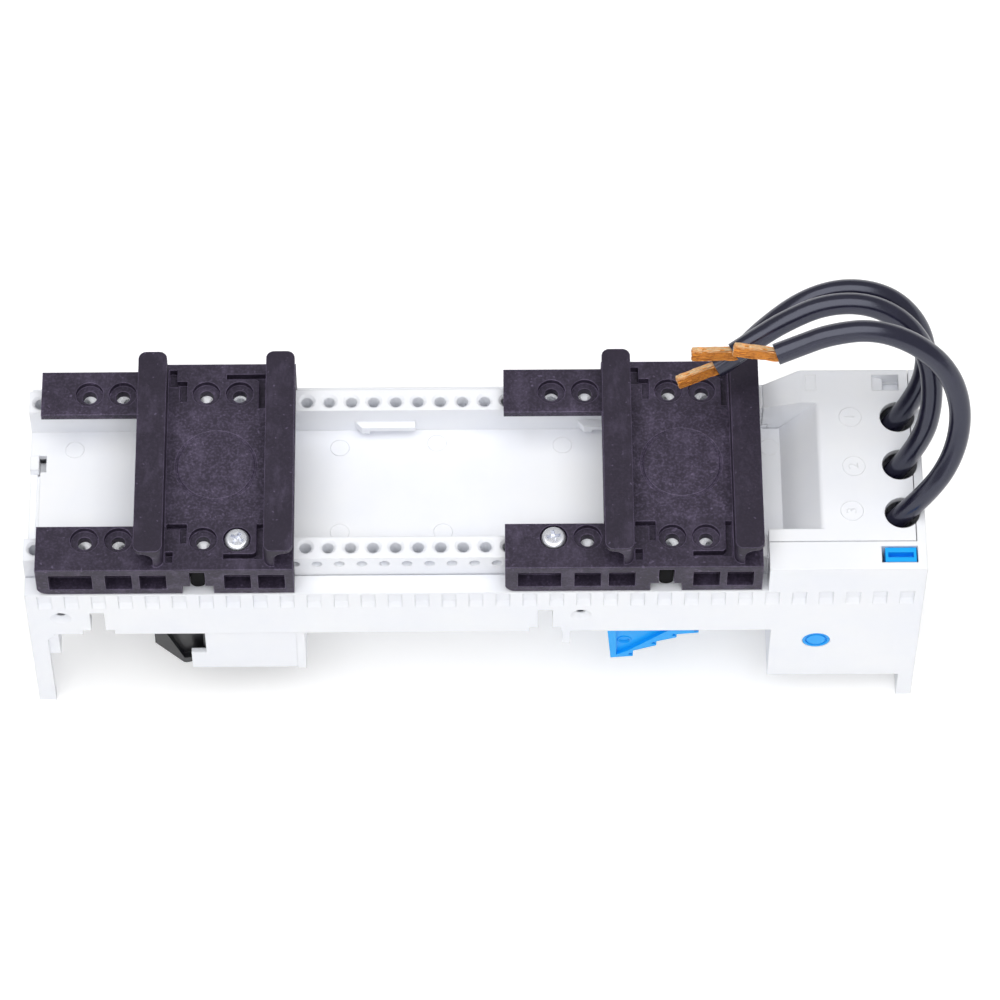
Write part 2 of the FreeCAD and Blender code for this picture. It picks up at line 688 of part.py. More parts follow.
def deck_plate():
    piece = Piece("deck_plate")
    floor_right = terminal_left + dim.shoulder_inset - dim.deck_clearance
    strip_front = front + strip_inset
    strip_back = strip_front + dim.strip_width
    piece.pad("YZ", left, strip_right, Outline([
        (strip_front, deck_bottom), (-strip_front, deck_bottom), (-strip_front, dim.strip_top),
        (-strip_back, dim.strip_top), (-strip_back, dim.deck_floor), (strip_back, dim.deck_floor),
        (strip_back, dim.strip_top), (strip_front, dim.strip_top),
    ]))
    floor_front = strip_back + dim.fitting_clearance
    piece.pad("XY", deck_bottom, dim.deck_floor, rectangle(
        strip_right - dim.wall, floor_front, floor_right, -floor_front))
    for low, high in ((strip_front, strip_back), (-strip_back, -strip_front)):
        piece.pad("XY", deck_bottom, dim.ledge_height - dim.fitting_clearance, rectangle(
            strip_right - dim.wall, low, head_left - dim.fitting_clearance, high))
    # end of the floor, cut back for the clip of the end wall
    notch_rear = dim.deck_notch_rear
    notch_front = notch_rear - dim.deck_notch_width
    floor_left = left + dim.deck_notch_left
    clip_right = left + dim.deck_notch_clip
    piece.pocket("XY", deck_bottom, dim.deck_floor, Outline([
        (left, strip_back), (floor_left, strip_back), (floor_left, notch_front), (clip_right, notch_front),
        (clip_right, notch_rear), (left, notch_rear)]))
    # retainer noses on the rear strip, chamfered at their far end and undercut along their edge
    for step in range(2):
        start = left + dim.retainer_start + step * dim.retainer_step
        end = start + dim.retainer_length
        nose_back = -strip_back + dim.fitting_clearance
        nose_front = -strip_back - dim.retainer_depth
        nose_foot = dim.deck_floor + dim.retainer_foot
        piece.pad("XY", nose_foot, nose_foot + dim.retainer_height, Outline([
            (start, nose_back), (start + dim.retainer_depth, nose_front), (end, nose_front),
            (end, nose_back)]))
        piece.pocket("XY", nose_foot, nose_foot + dim.retainer_undercut, rectangle(
            start + 2 * dim.retainer_depth, nose_front, end, nose_front + dim.retainer_undercut))
    # round eyes in the outer faces of the strips, half a pitch from the raster holes
    eyes = []
    for side in (-1, 1):
        low, high = ordered(across(side, strip_inset), across(side, strip_inset + dim.strip_eye_depth))
        eyes.append(piece.pocket("XZ", low, high, Circle(
            raster_first + dim.raster_pitch / 2, dim.strip_top - dim.strip_eye_drop, dim.strip_eye)))
    piece.row(eyes, "H_Axis", dim.raster_pitch, raster_count - 1)
    # raster of countersunk screw holes in both strips
    rows = (front + dim.raster_inset, rear - dim.raster_inset)
    hole = piece.pocket("XY", dim.strip_top - dim.raster_depth, dim.strip_top,
                        *[Circle(raster_first, y, dim.raster_hole) for y in rows])
    sink = piece.pocket("XY", dim.strip_top - (dim.raster_sink - dim.raster_hole) / 2, dim.strip_top,
                        *[Circle(raster_first, y, dim.raster_sink) for y in rows])
    sink.TaperAngle = -45
    piece.row([hole, sink], "H_Axis", dim.raster_pitch, raster_count)


def terminal_cover():
    piece = Piece("terminal_cover")
    cover_front = front + dim.turret_depth + dim.fitting_clearance
    cover_rear = rear - dim.cover_rear_inset
    cover_right = head_right - dim.fitting_clearance
    shoulder_x = terminal_left + dim.shoulder_inset
    recess = front + strip_inset + dim.strip_width
    under_top = dim.head_height - dim.wall
    piece.pad("XY", dim.ledge_height, dim.head_height, Outline([
        (terminal_left, cover_front), (cover_right, cover_front), (cover_right, cover_rear),
        (terminal_left + dim.cover_corner_length, cover_rear),
        (terminal_left, cover_rear - dim.cover_corner_depth),
    ]))
    # the top's rear margin falls to the level of the strips
    piece.pocket("XZ", -recess, rear, Outline([
        (terminal_left - dim.wall, dim.head_height - dim.cover_slope_drop),
        (terminal_left, dim.head_height - dim.cover_slope_drop),
        (terminal_left + dim.cover_slope, dim.head_height),
        (terminal_left + dim.cover_slope, dim.head_height + dim.wall),
        (terminal_left - dim.wall, dim.head_height + dim.wall),
    ]))
    # ramp between the strips, down to the deck, rounded into the top
    piece.pad("XZ", recess, -recess, rectangle(
        shoulder_x, deck_bottom, shoulder_x + dim.shoulder_wall, dim.ledge_height + dim.wall))
    ramp_top = shoulder_x + dim.shoulder_length
    ramp_end = ramp_top + dim.shoulder_radius
    piece.pocket("XZ", recess, -recess, Outline([
        (terminal_left - dim.wall, deck_bottom - dim.wall), (shoulder_x, deck_bottom - dim.wall),
        (shoulder_x, dim.deck_floor), (ramp_top, dim.head_height, dim.shoulder_radius),
        (ramp_end, dim.head_height), (ramp_end, dim.head_height + dim.wall),
        (terminal_left - dim.wall, dim.head_height + dim.wall),
    ]))
    # hollow inside, one wall thick
    inner_left = shoulder_x + dim.shoulder_wall
    piece.pocket("XZ", cover_front + dim.wall, cover_rear - dim.wall, Outline([
        (inner_left, deck_bottom - dim.wall), (cover_right - dim.wall, deck_bottom - dim.wall),
        (cover_right - dim.wall, under_top), (ramp_top + dim.shoulder_wall / 2, under_top),
        (inner_left, dim.deck_floor),
    ]))
    # cable mouths, and the window over the rear
    piece.pocket("XY", deck_bottom, dim.head_height,
                 *[Circle(cable_x, lane, dim.cable_hole) for lane in lane_y.values()])
    window_right = right - dim.head_end_wall - dim.cover_window_inset / 2
    window_rear = cover_rear - dim.cover_window_inset
    piece.pocket("XY", under_top - dim.wall, dim.head_height, rectangle(
        window_right - dim.cover_window_length, window_rear - dim.cover_window_width, window_right - dim.wall,
        window_rear))


def bottom_cover():
    piece = Piece("bottom_cover")
    edge = dim.wall + dim.fitting_clearance
    piece.pad("XY", dim.wall_foot, cover_top, rectangle(
        left + edge, front + edge, head_left - dim.fitting_clearance, rear - edge))
    # bay of the locking lever at the front edge
    piece.pocket("XY", dim.wall_foot - dim.wall, cover_top, rectangle(
        lever_bay_left, front, head_left, chamber_rear - dim.fitting_clearance / 2))
    # guides of the contacts
    for phase, x in bar_x.items():
        half_length = dim.contact_length / 2 + dim.sliding_clearance
        half_width = dim.contact_width / 2 + dim.sliding_clearance
        lane = lane_y[phase]
        piece.pocket("XY", dim.wall_foot - dim.wall, cover_top,
                     rectangle(x - half_length, lane - half_width, x + half_length, lane + half_width))
    # corners that clear the far gussets and the hanging tabs' roots
    gusset = left + dim.leg_length + dim.leg_gusset + dim.fitting_clearance
    for side in (-1, 1):
        low, high = ordered(across(side, 0), across(side, edge + dim.fitting_clearance))
        piece.pocket("XY", dim.wall_foot - dim.wall, cover_top, rectangle(left, low, gusset, high))
    # recesses behind the notches of the walls
    for side in (-1, 1):
        low, high = ordered(across(side, 0), across(side, dim.notch_sight))
        for step in range(2):
            start = left + dim.notch_start + step * dim.notch_step
            piece.pocket("XY", dim.wall_foot - dim.wall, cover_top, rectangle(
                start, low, start + dim.notch_width, high))


def rail_carrier(label, start):
    piece = Piece(label)
    end = start + dim.carrier_length
    rail_start = end - dim.rail_width
    carrier_front = front + dim.carrier_inset
    carrier_rear = rear - dim.carrier_inset
    arm_back = front + dim.arm_depth
    rear_arm_front = rear - dim.rear_arm_inset - dim.arm_depth
    rear_arm_back = rear - dim.rear_arm_inset - dim.carrier_inset
    skirt_foot = dim.ledge_height + dim.skirt_gap
    skirt_back = front + dim.ledge_depth
    # plate with two arms that reach over the raster strips
    piece.pad("XY", dim.strip_top, plate_top, Outline([
        (start, carrier_front), (end, carrier_front), (end, carrier_rear), (rail_start, carrier_rear),
        (rail_start, rear_arm_back), (start, rear_arm_back), (start, rear_arm_front),
        (rail_start, rear_arm_front), (rail_start, arm_back), (start, arm_back),
    ]))
    # front and rear skirts that drop over the strips to the ledges
    piece.pad("XZ", carrier_front, skirt_back, Outline([
        (start, skirt_foot, dim.skirt_corner), (end, skirt_foot), (end, plate_top), (start, plate_top)]))
    piece.pad("XZ", -skirt_back, carrier_rear, Outline([
        (rail_start, skirt_foot, dim.skirt_corner), (end, skirt_foot), (end, plate_top),
        (rail_start, plate_top)]))
    # rail flanges: webs inside, lips outwards
    rail_top = plate_top + dim.rail_height
    lip_bottom = rail_top - dim.flange_thickness
    for outer, inward in ((rail_start, 1), (end, -1)):
        lip_inner = outer + inward * dim.flange_width
        web_outer = lip_inner - inward * dim.web_thickness
        piece.pad("XZ", front + dim.rail_inset, rear - dim.rail_inset, Outline([
            (lip_inner, plate_top), (lip_inner, rail_top), (outer, rail_top), (outer, lip_bottom),
            (web_outer, lip_bottom, dim.flange_fillet), (web_outer, plate_top)]))
    # rounded ends of the flanges
    corners = []
    for outer, inward in ((rail_start, 1), (end, -1)):
        for x, along in ((outer, inward), (outer + inward * dim.flange_width, -inward)):
            for y, depth in ((front + dim.rail_inset, 1), (rear - dim.rail_inset, -1)):
                corners.append(rounding(x, y, along, depth, dim.flange_corner))
    piece.pocket("XY", plate_top, rail_top, *corners)
    # thinner edge of the rear arm, where it overhangs the strip
    piece.pocket("XY", dim.strip_top, plate_top - dim.arm_edge, rectangle(
        start, rear_arm_front, rail_start, rear_arm_front + dim.arm_overhang))
    # counterbored screw holes in both rows
    offsets = (0.0, dim.carrier_hole_second, dim.carrier_hole_third, dim.carrier_hole_fourth)
    spots = []
    for y in (front + dim.raster_inset, rear - dim.raster_inset):
        for offset in offsets:
            spots.append((start + dim.carrier_hole_first + offset, y))
    piece.pocket("XY", dim.strip_top, plate_top, *[Circle(x, y, dim.carrier_hole) for x, y in spots])
    piece.pocket("XY", plate_top - dim.carrier_bore_depth, plate_top,
                 *[Circle(x, y, dim.carrier_bore) for x, y in spots])
    # narrow slots round the screw pads, and a scored circle between them
    web_left = rail_start + dim.flange_width
    web_right = end - dim.flange_width
    slits = []
    for web, side, corners in ((web_left, 1, LEFT_SLOT_REAR), (web_left, -1, LEFT_SLOT_FRONT),
                               (web_left, -1, LEFT_POCKET_FRONT), (web_right, 1, RIGHT_SLOT),
                               (web_right, -1, RIGHT_SLOT)):
        row_y = across(side, dim.raster_inset)
        slits.append(Outline([(web + along, row_y + side * outwards, *radius)
                              for along, outwards, *radius in corners]))
    piece.pocket("XY", plate_top - dim.carrier_slit_depth, plate_top, *slits)
    rail_middle = end - dim.rail_width / 2
    piece.pocket("XY", plate_top - dim.carrier_ring_depth, plate_top,
                 Circle(rail_middle, 0.0, dim.carrier_ring),
                 Circle(rail_middle, 0.0, dim.carrier_ring - 2 * dim.carrier_ring_width))
    # pockets and the stepped notch in the front skirt
    pocket_low = skirt_foot + dim.carrier_pocket_foot
    pocket_high = pocket_low + dim.carrier_pocket_height
    pockets = [(dim.carrier_pocket_one, dim.carrier_pocket_wide)]
    for place_along in (dim.carrier_pocket_two, dim.carrier_pocket_three, dim.carrier_pocket_four,
                        dim.carrier_pocket_five):
        pockets.append((place_along, dim.carrier_pocket_width))
    piece.pocket("XZ", carrier_front, carrier_front + dim.carrier_pocket_depth,
                 *[rectangle(start + along, pocket_low, start + along + width, pocket_high)
                   for along, width in pockets])
    notch_left = start + dim.carrier_notch
    notch_right = notch_left + dim.carrier_notch_width
    slot_left = (notch_left + notch_right) / 2 - dim.carrier_slot / 2
    slot_right = slot_left + dim.carrier_slot
    notch_top = skirt_foot + dim.carrier_notch_lip
    piece.pocket("XZ", carrier_front, skirt_back, Outline([
        (notch_left, skirt_foot), (notch_right, skirt_foot), (notch_right, notch_top),
        (slot_right, notch_top), (slot_right, skirt_foot + dim.carrier_slot_height),
        (slot_left, skirt_foot + dim.carrier_slot_height), (slot_left, notch_top), (notch_left, notch_top)]))
    piece.pocket("XZ", carrier_front, carrier_front + dim.carrier_pocket_depth, rectangle(
        slot_left, skirt_foot + dim.carrier_notch_lip, slot_right, skirt_foot + dim.carrier_slot_top))


def carrier_screws(spots):
    piece = Piece("carrier_screws")
    head_bottom = plate_top - dim.carrier_bore_depth
    piece.pad("XY", head_bottom - dim.screw_length, head_bottom,
              *[Circle(x, y, dim.screw_shank) for x, y in spots])
    piece.pad("XY", head_bottom, head_bottom + dim.screw_head_height,
              *[Circle(x, y, dim.screw_head) for x, y in spots])


def latch_places():
    """Shared places of the latch slide and its guide."""
    spot = SimpleNamespace()
    spot.start = left + dim.guide_start
    spot.end = spot.start + dim.guide_length
    spot.back = spot.end - dim.guide_end_wall
    spot.roof = dim.wall_foot - dim.guide_wall
    spot.inside = dim.guide_inset + dim.guide_wall
    spot.rail_top = dim.guide_foot + dim.guide_wall
    spot.block = spot.start + dim.slide_block_start
    spot.block_end = spot.block + dim.slide_block_length
    spot.low = spot.rail_top + dim.sliding_clearance
    spot.high = spot.roof - dim.sliding_clearance
    spot.spring_z = (spot.low + spot.high) / 2
    return spot


def latch_guide():
    piece = Piece("latch_guide")
    spot = latch_places()
    inset = dim.guide_inset
    piece.pad("XY", dim.guide_foot, dim.wall_foot, rectangle(
        spot.start, front + inset, spot.end, rear - inset))
    piece.pocket("XY", dim.guide_foot, spot.roof, rectangle(
        spot.start - dim.guide_wall, front + spot.inside, spot.back, rear - spot.inside))
    piece.pad("XY", dim.guide_foot, dim.wall_foot, rectangle(
        spot.back, front + dim.guide_end_inset, spot.end, rear - dim.guide_end_inset))
    # lugs beside the latch's nose, and rails under its block
    rail_left = spot.back - dim.guide_rail_length
    for side in (-1, 1):
        low, high = ordered(across(side, inset), across(side, spot.inside))
        piece.pad("XZ", low, high, rectangle(
            spot.start - dim.guide_lug_length, dim.guide_foot, spot.start + dim.guide_wall,
            dim.guide_foot + dim.guide_lug_height))
        low, high = ordered(across(side, inset), across(side, spot.inside + dim.guide_rail_depth))
        piece.pad("XY", dim.guide_foot, spot.rail_top, rectangle(rail_left, low, spot.back, high))


def latch_slide():
    piece = Piece("latch_slide")
    spot = latch_places()
    inset = spot.inside + dim.sliding_clearance
    piece.pad("XY", spot.low, spot.high, rectangle(spot.block, front + inset, spot.block_end, rear - inset))
    nose_left = spot.start - dim.nose_reach
    tip = nose_left + dim.nose_tip
    heel = tip + dim.nose_heel
    for side in (-1, 1):
        low, high = ordered(across(side, inset), across(side, inset + dim.nose_width))
        piece.pad("XZ", low, high, Outline([
            (nose_left, spot.high), (nose_left, spot.high - dim.nose_face),
            (tip, spot.low - dim.nose_tip_drop, dim.nose_tip_radius), (heel, spot.low),
            (spot.block_end, spot.low), (spot.block_end, spot.high)]))
        # sunk panel in the outer face of the nose
        rim = dim.nose_rim
        low, high = ordered(across(side, inset), across(side, inset + dim.nose_panel_depth))
        piece.pocket("XZ", low, high, Outline([
            (nose_left + 2 * rim, spot.high - rim), (tip, spot.low - dim.nose_tip_drop + 2 * rim),
            (heel, spot.low + rim), (spot.start - rim / 2, spot.low + rim),
            (spot.start - rim / 2, spot.high - rim)]))
    piece.pocket("YZ", spot.block_end - dim.latch_spring_seat, spot.block_end, Circle(
        0.0, spot.spring_z, dim.latch_spring_diameter + 2 * dim.sliding_clearance))


def spring(label, diameter, wire, turns, length, base, rotation):
    """A compression spring on a base point, its axis turned; a six-sided wire keeps the coil light."""
    helix = doc.addObject("Part::Helix", label + "_helix")
    helix.setExpression("Radius", formula((diameter - wire) / 2))
    helix.setExpression("Height", formula(length - wire))
    helix.setExpression("Pitch", formula((length - wire) / turns))
    section = doc.addObject("Part::RegularPolygon", label + "_section")
    section.Polygon = 6
    section.setExpression("Circumradius", formula(wire / 2))
    section.Placement = FreeCAD.Placement(FreeCAD.Vector(), FreeCAD.Rotation(FreeCAD.Vector(1, 0, 0), 90))
    section.setExpression("Placement.Base.x", formula((diameter - wire) / 2))
    doc.recompute()
    coil = doc.addObject("Part::Sweep", label)
    coil.Sections = [section]
    coil.Spine = (helix, [f"Edge{number + 1}" for number in range(len(helix.Shape.Edges))])
    coil.Solid = True
    coil.Frenet = True
    coil.Placement = FreeCAD.Placement(FreeCAD.Vector(), rotation)
    for axis, term in zip("xyz", base):
        coil.setExpression(f"Placement.Base.{axis}", formula(term))
    coil.Label = label
    sub_parts.append(coil)


UPRIGHT = FreeCAD.Rotation()
ALONG_X = FreeCAD.Rotation(FreeCAD.Vector(0, 1, 0), 90)


def latch_spring():
    spot = latch_places()
    seat = spot.block_end - dim.latch_spring_seat
    spring("latch_spring", dim.latch_spring_diameter, dim.latch_spring_wire, dim.latch_spring_turns,
           spot.back - seat, (seat + dim.latch_spring_wire / 2, 0.0, spot.spring_z), ALONG_X)


def lock_lever():
    piece = Piece("lock_lever")
    x, z = pivot_x, dim.pivot_height
    foot_left = x - dim.lever_foot_left
    toe = x - dim.tooth_one
    second = x + dim.tooth_two
    third = x + dim.tooth_three
    fourth = x + dim.tooth_four
    tail_bottom = z + dim.tail_top - dim.tail_thickness
    outline = [
        (x - dim.lever_left, z - dim.lever_shoulder), (foot_left, z - dim.lever_foot),
        (toe, z - dim.lever_toe), (toe, z - dim.lever_toe + dim.tooth_one_riser),
        (second, z - dim.tooth_two_drop), (second, z - dim.tooth_two_drop + dim.tooth_two_riser),
        (third, z - dim.tooth_three_drop), (third, z - dim.tooth_three_drop + dim.tooth_three_riser),
        (fourth, z - dim.tooth_four_drop), (fourth, tail_bottom),
        (x + dim.tail_reach, tail_bottom), (x + dim.tail_reach, z + dim.tail_top),
        (x + dim.lever_hub, z + dim.tail_top),
        (x + dim.lever_hub, z + dim.lever_hub_top, dim.lever_hub_radius),
        (x - dim.lever_hub, z + dim.lever_hub_top, dim.lever_hub_radius),
        (x - dim.lever_hub, z - dim.lever_shoulder),
    ]
    piece.pad("XZ", lever_front, lever_rear, Outline(outline))
    piece.pocket("XZ", lever_front, lever_rear, Circle(x, z, dim.pin_diameter + 2 * dim.running_clearance))
    # sunk triangular panel in the front of the head
    rim = dim.lever_rim
    panel_top = dim.wall_foot - dim.wall
    piece.pocket("XZ", lever_front, lever_front + dim.lever_panel_depth, Outline([
        (x - dim.lever_left + 2 * rim, panel_top), (foot_left + rim, z - dim.lever_foot + rim),
        (toe - rim, z - dim.lever_toe + dim.tooth_one_riser), (third - rim, panel_top - rim),
        (third - rim, panel_top),
    ]))
    panel_face = lever_front + dim.lever_panel_depth
    piece.pocket("XZ", panel_face, panel_face + dim.lever_mark_depth, Circle(
        x - dim.lever_mark_left, z - dim.lever_mark_drop, dim.lever_mark))


def lock_pin():
    piece = Piece("lock_pin")
    pin_front = front + dim.wall + dim.sliding_clearance
    pin_rear = front + dim.turret_depth + dim.pin_boss_length
    piece.pad("XZ", pin_front, pin_rear, Circle(pivot_x, dim.pivot_height, dim.pin_diameter))


def lock_spring():
    base_z = dim.pivot_height - dim.lever_shoulder
    middle = (lever_front + lever_rear) / 2
    base = (pivot_x - dim.lock_spring_offset, middle, base_z + dim.lock_spring_wire / 2)
    spring("lock_spring", dim.lock_spring_diameter, dim.lock_spring_wire, dim.lock_spring_turns,
           seat_bottom - base_z, base, UPRIGHT)


def rocker_places():
    """Shared places of the rocker, the lever's tail and the release slide."""
    spot = SimpleNamespace()
    spot.nose_x = trunnion_x - dim.rocker_nose
    tail_top = dim.pivot_height + dim.tail_top
    spot.nose_z = tail_top + dim.sliding_clearance + dim.rocker_nose_radius
    spot.tip_x = trunnion_x + dim.rocker_tip
    spot.tip_z = dim.trunnion_height + dim.rocker_tip_height
    return spot


def release_rocker():
    piece = Piece("release_rocker")
    spot = rocker_places()
    radius = dim.rocker_nose_radius
    x, z = trunnion_x, dim.trunnion_height
    elbow = x - dim.rocker_elbow
    reach = dim.rocker_arm_width
    piece.pad("XZ", lever_front, lever_rear, Circle(x, z, 2 * dim.rocker_hub))
    # left arm: up through the window of the head, then over the lever's tail to a round nose
    piece.pad("XZ", lever_front, lever_rear, Outline([
        (spot.nose_x, spot.nose_z - radius), (elbow - reach / 2, spot.nose_z - radius + reach / 4),
        (elbow, spot.nose_z - reach), (x - dim.rocker_hub, z), (x, z), (x, z + dim.rocker_hub),
        (elbow + reach, spot.nose_z - radius), (elbow + reach / 2, spot.nose_z + radius),
        (spot.nose_x, spot.nose_z + radius),
    ]))
    piece.pad("XZ", lever_front, lever_rear, Circle(spot.nose_x, spot.nose_z, 2 * radius))
    # right arm with a round tip under the release slide
    piece.pad("XZ", lever_front, lever_rear, Outline([
        (x, z - dim.rocker_hub), (spot.tip_x, spot.tip_z - radius), (spot.tip_x, spot.tip_z + radius),
        (x, z + dim.rocker_hub)]))
    piece.pad("XZ", lever_front, lever_rear, Circle(spot.tip_x, spot.tip_z, 2 * radius))
    # trunnion that shows in the wall, and the journal in the chamber's rear wall
    piece.pad("XZ", front + dim.trunnion_recess, lever_front, Circle(x, z, dim.trunnion_diameter))
    face = front + dim.trunnion_recess
    piece.pocket("XZ", face, face + dim.trunnion_ring_width, Circle(x, z, dim.trunnion_ring),
                 Circle(x, z, dim.trunnion_ring - 2 * dim.trunnion_ring_width))
    journal_end = front + dim.turret_depth - dim.fitting_clearance
    piece.pad("XZ", lever_rear, journal_end, Circle(x, z, dim.journal_diameter))


def release_slide():
    piece = Piece("release_slide")
    spot = rocker_places()
    slide_left = release_left + dim.release_left_gap
    slide_right = head_right - dim.sliding_clearance
    slide_front = front + dim.release_window_inset + dim.sliding_clearance
    slide_rear = front + dim.release_window_inset + dim.release_window_width - dim.sliding_clearance
    top = dim.head_height - dim.release_recess
    foot = spot.tip_z + dim.rocker_nose_radius + dim.sliding_clearance
    piece.pad("XY", foot, top, rectangle(slide_left, slide_front, slide_right, slide_rear))
    middle_x = (slide_left + slide_right) / 2
    middle_y = (slide_front + slide_rear) / 2
    half_length = dim.release_slot_length / 2
    half_width = dim.release_slot_width / 2
    piece.pocket("XY", top - dim.release_slot_depth, top, rectangle(
        middle_x - half_length, middle_y - half_width, middle_x + half_length, middle_y + half_width))


def contact(phase):
    piece = Piece("contact_" + phase)
    x, lane = bar_x[phase], lane_y[phase]
    half_length = dim.contact_length / 2
    half_width = dim.contact_width / 2
    foot = dim.wall_foot - dim.contact_reach
    shoulder = contact_top - dim.shoulder_thickness
    # foot with rolled edges, on which the busbar slides in
    piece.pad("XZ", lane - half_width, lane + half_width, Outline([
        (x - half_length, foot, dim.contact_edge), (x + half_length, foot, dim.contact_edge),
        (x + half_length, contact_top), (x - half_length, contact_top)]))
    piece.pad("XY", shoulder, contact_top, rectangle(
        x - half_length, lane - half_width - dim.shoulder_width, x + half_length,
        lane + half_width + dim.shoulder_width))
    # tail with the crimp barrel of the wire
    barrel_left = x + half_length + dim.tail_length
    barrel_right = barrel_left + dim.barrel_length
    piece.pad("XY", shoulder, contact_top, rectangle(
        x, lane - dim.tail_width / 2, barrel_right, lane + dim.tail_width / 2))
    piece.pad("YZ", barrel_left, barrel_right, Circle(lane, barrel_z, dim.barrel_diameter))


def contact_spring(phase):
    base = (bar_x[phase], lane_y[phase], contact_top + dim.contact_spring_wire / 2)
    spring("contact_spring_" + phase, dim.contact_spring_diameter, dim.contact_spring_wire,
           dim.contact_spring_turns, deck_bottom - contact_top, base, UPRIGHT)


def tube(label, points, diameter):
    """A round tube along straight runs joined by tangent arcs, each as large as its runs allow."""
    runs = [end - start for start, end in zip(points, points[1:])]
    edges = []
    radii = []
    here = points[0]
    for corner, before, after in zip(points[1:], runs, runs[1:]):
        arriving = FreeCAD.Vector(before).normalize()
        leaving = FreeCAD.Vector(after).normalize()
        half_turn = arriving.getAngle(leaving) / 2
        reach = ARC_SHARE * min(before.Length, after.Length)
        radius = reach / math.tan(half_turn)
        bisector = (leaving - arriving).normalize()
        entry = corner - arriving * reach
        exit_point = corner + leaving * reach
        middle = corner + bisector * (radius / math.cos(half_turn) - radius)
        edges.append(Part.LineSegment(here, entry).toShape())
        edges.append(Part.Arc(entry, middle, exit_point).toShape())
        here = exit_point
        radii.append(round(radius, 1))
    edges.append(Part.LineSegment(here, points[-1]).toShape())
    path = Part.Wire(edges)
    start_direction = FreeCAD.Vector(runs[0]).normalize()
    ring = Part.Wire([Part.Circle(points[0], start_direction, diameter / 2).toShape()])
    piece = doc.addObject("Part::Feature", label)
    piece.Shape = path.makePipeShell([ring], True, False)
    piece.Label = label
    sub_parts.append(piece)
    expected = math.pi * diameter ** 2 / 4 * path.Length
    print(label, "length", round(path.Length, 1), "radii", radii, "volume ratio",
          round(piece.Shape.Volume / expected, 4))
    return piece


def wires(phase):
    mouth = FreeCAD.Vector(value(cable_x), value(lane_y[phase]), value(mouth_z))
    route = [mouth] + [mouth + FreeCAD.Vector(*point) for point in WIRE_ROUTES[phase]]
    diameter = value(dim.wire_diameter)
    wire = tube("wire_" + phase, route, diameter)
    # the same wire inside the housing, from its crimp barrel to the cable mouth
    slant = FreeCAD.Vector(route[1] - route[0]).normalize()
    drop = (value(mouth_z) - value(barrel_z)) / slant.z
    turn = mouth - slant * drop
    barrel_end = bar_x[phase] + dim.contact_length / 2 + dim.tail_length + dim.barrel_length
    start_x = value(barrel_end + dim.sliding_clearance)
    start = FreeCAD.Vector(start_x, value(lane_y[phase]), value(barrel_z))
    lead = start + FreeCAD.Vector(value(dim.wire_lead), 0, 0)
    tube("inner_wire_" + phase, [start, lead, turn, mouth], diameter)
    # flat compacted end of the strands, its root cut off where the insulation ends
    block = doc.addObject("Part::Box", "wire_block_" + phase)
    block.setExpression("Length", formula(dim.wire_end_length + dim.wire_end_root))
    block.setExpression("Width", formula(dim.wire_end_width))
    block.setExpression("Height", formula(dim.wire_end_thickness))
    turned = FreeCAD.Rotation(
        FreeCAD.Vector(*STRAND_HEADINGS[phase]), FreeCAD.Vector(0, 0, 0), STRAND_FACE, "XZY")
    corner = FreeCAD.Vector(
        -value(dim.wire_end_root), -value(dim.wire_end_width) / 2, -value(dim.wire_end_thickness) / 2)
    block.Placement = FreeCAD.Placement(route[-1] + turned.multVec(corner), turned)
    end = doc.addObject("Part::Cut", "wire_end_" + phase)
    end.Base = block
    end.Tool = wire
    end.Label = "wire_end_" + phase
    sub_parts.append(end)


def main():
    base_frame()
    deck_plate()
    terminal_cover()
    bottom_cover()
    left_screw = raster_first + LEFT_SCREW_HOLE * dim.raster_pitch
    right_screw = raster_first + (raster_count - RIGHT_SCREW_HOLE) * dim.raster_pitch
    rail_carrier("rail_carrier_left", left_screw - dim.carrier_hole_first - dim.carrier_hole_fourth)
    rail_carrier("rail_carrier_right", right_screw - dim.carrier_hole_first)
    screw_y = front + dim.raster_inset
    carrier_screws([(left_screw, screw_y), (right_screw, screw_y)])
    latch_guide()
    latch_slide()
    latch_spring()
    lock_lever()
    lock_pin()
    lock_spring()
    release_rocker()
    release_slide()
    for phase in ("l1", "l2", "l3"):
        contact(phase)
        contact_spring(phase)
        wires(phase)
    doc.recompute()
    failed = [item.Label for item in doc.Objects if "Invalid" in item.State or "Error" in item.State]
    if failed:
        raise RuntimeError("objects failed: " + ", ".join(failed))
    for item in sub_parts:
        if item.Shape.isNull() or not item.Shape.isValid():
            raise RuntimeError("bad shape: " + item.Label)
    os.makedirs("parts", exist_ok=True)
    for item in sub_parts:
        item.Shape.exportStep(f"parts/{item.Label}.step")


main()
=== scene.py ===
"""Looks of a three-phase busbar adapter: finishes, free wires, screws and the studio round it."""

import math

import bpy
from mathutils import Matrix, Vector


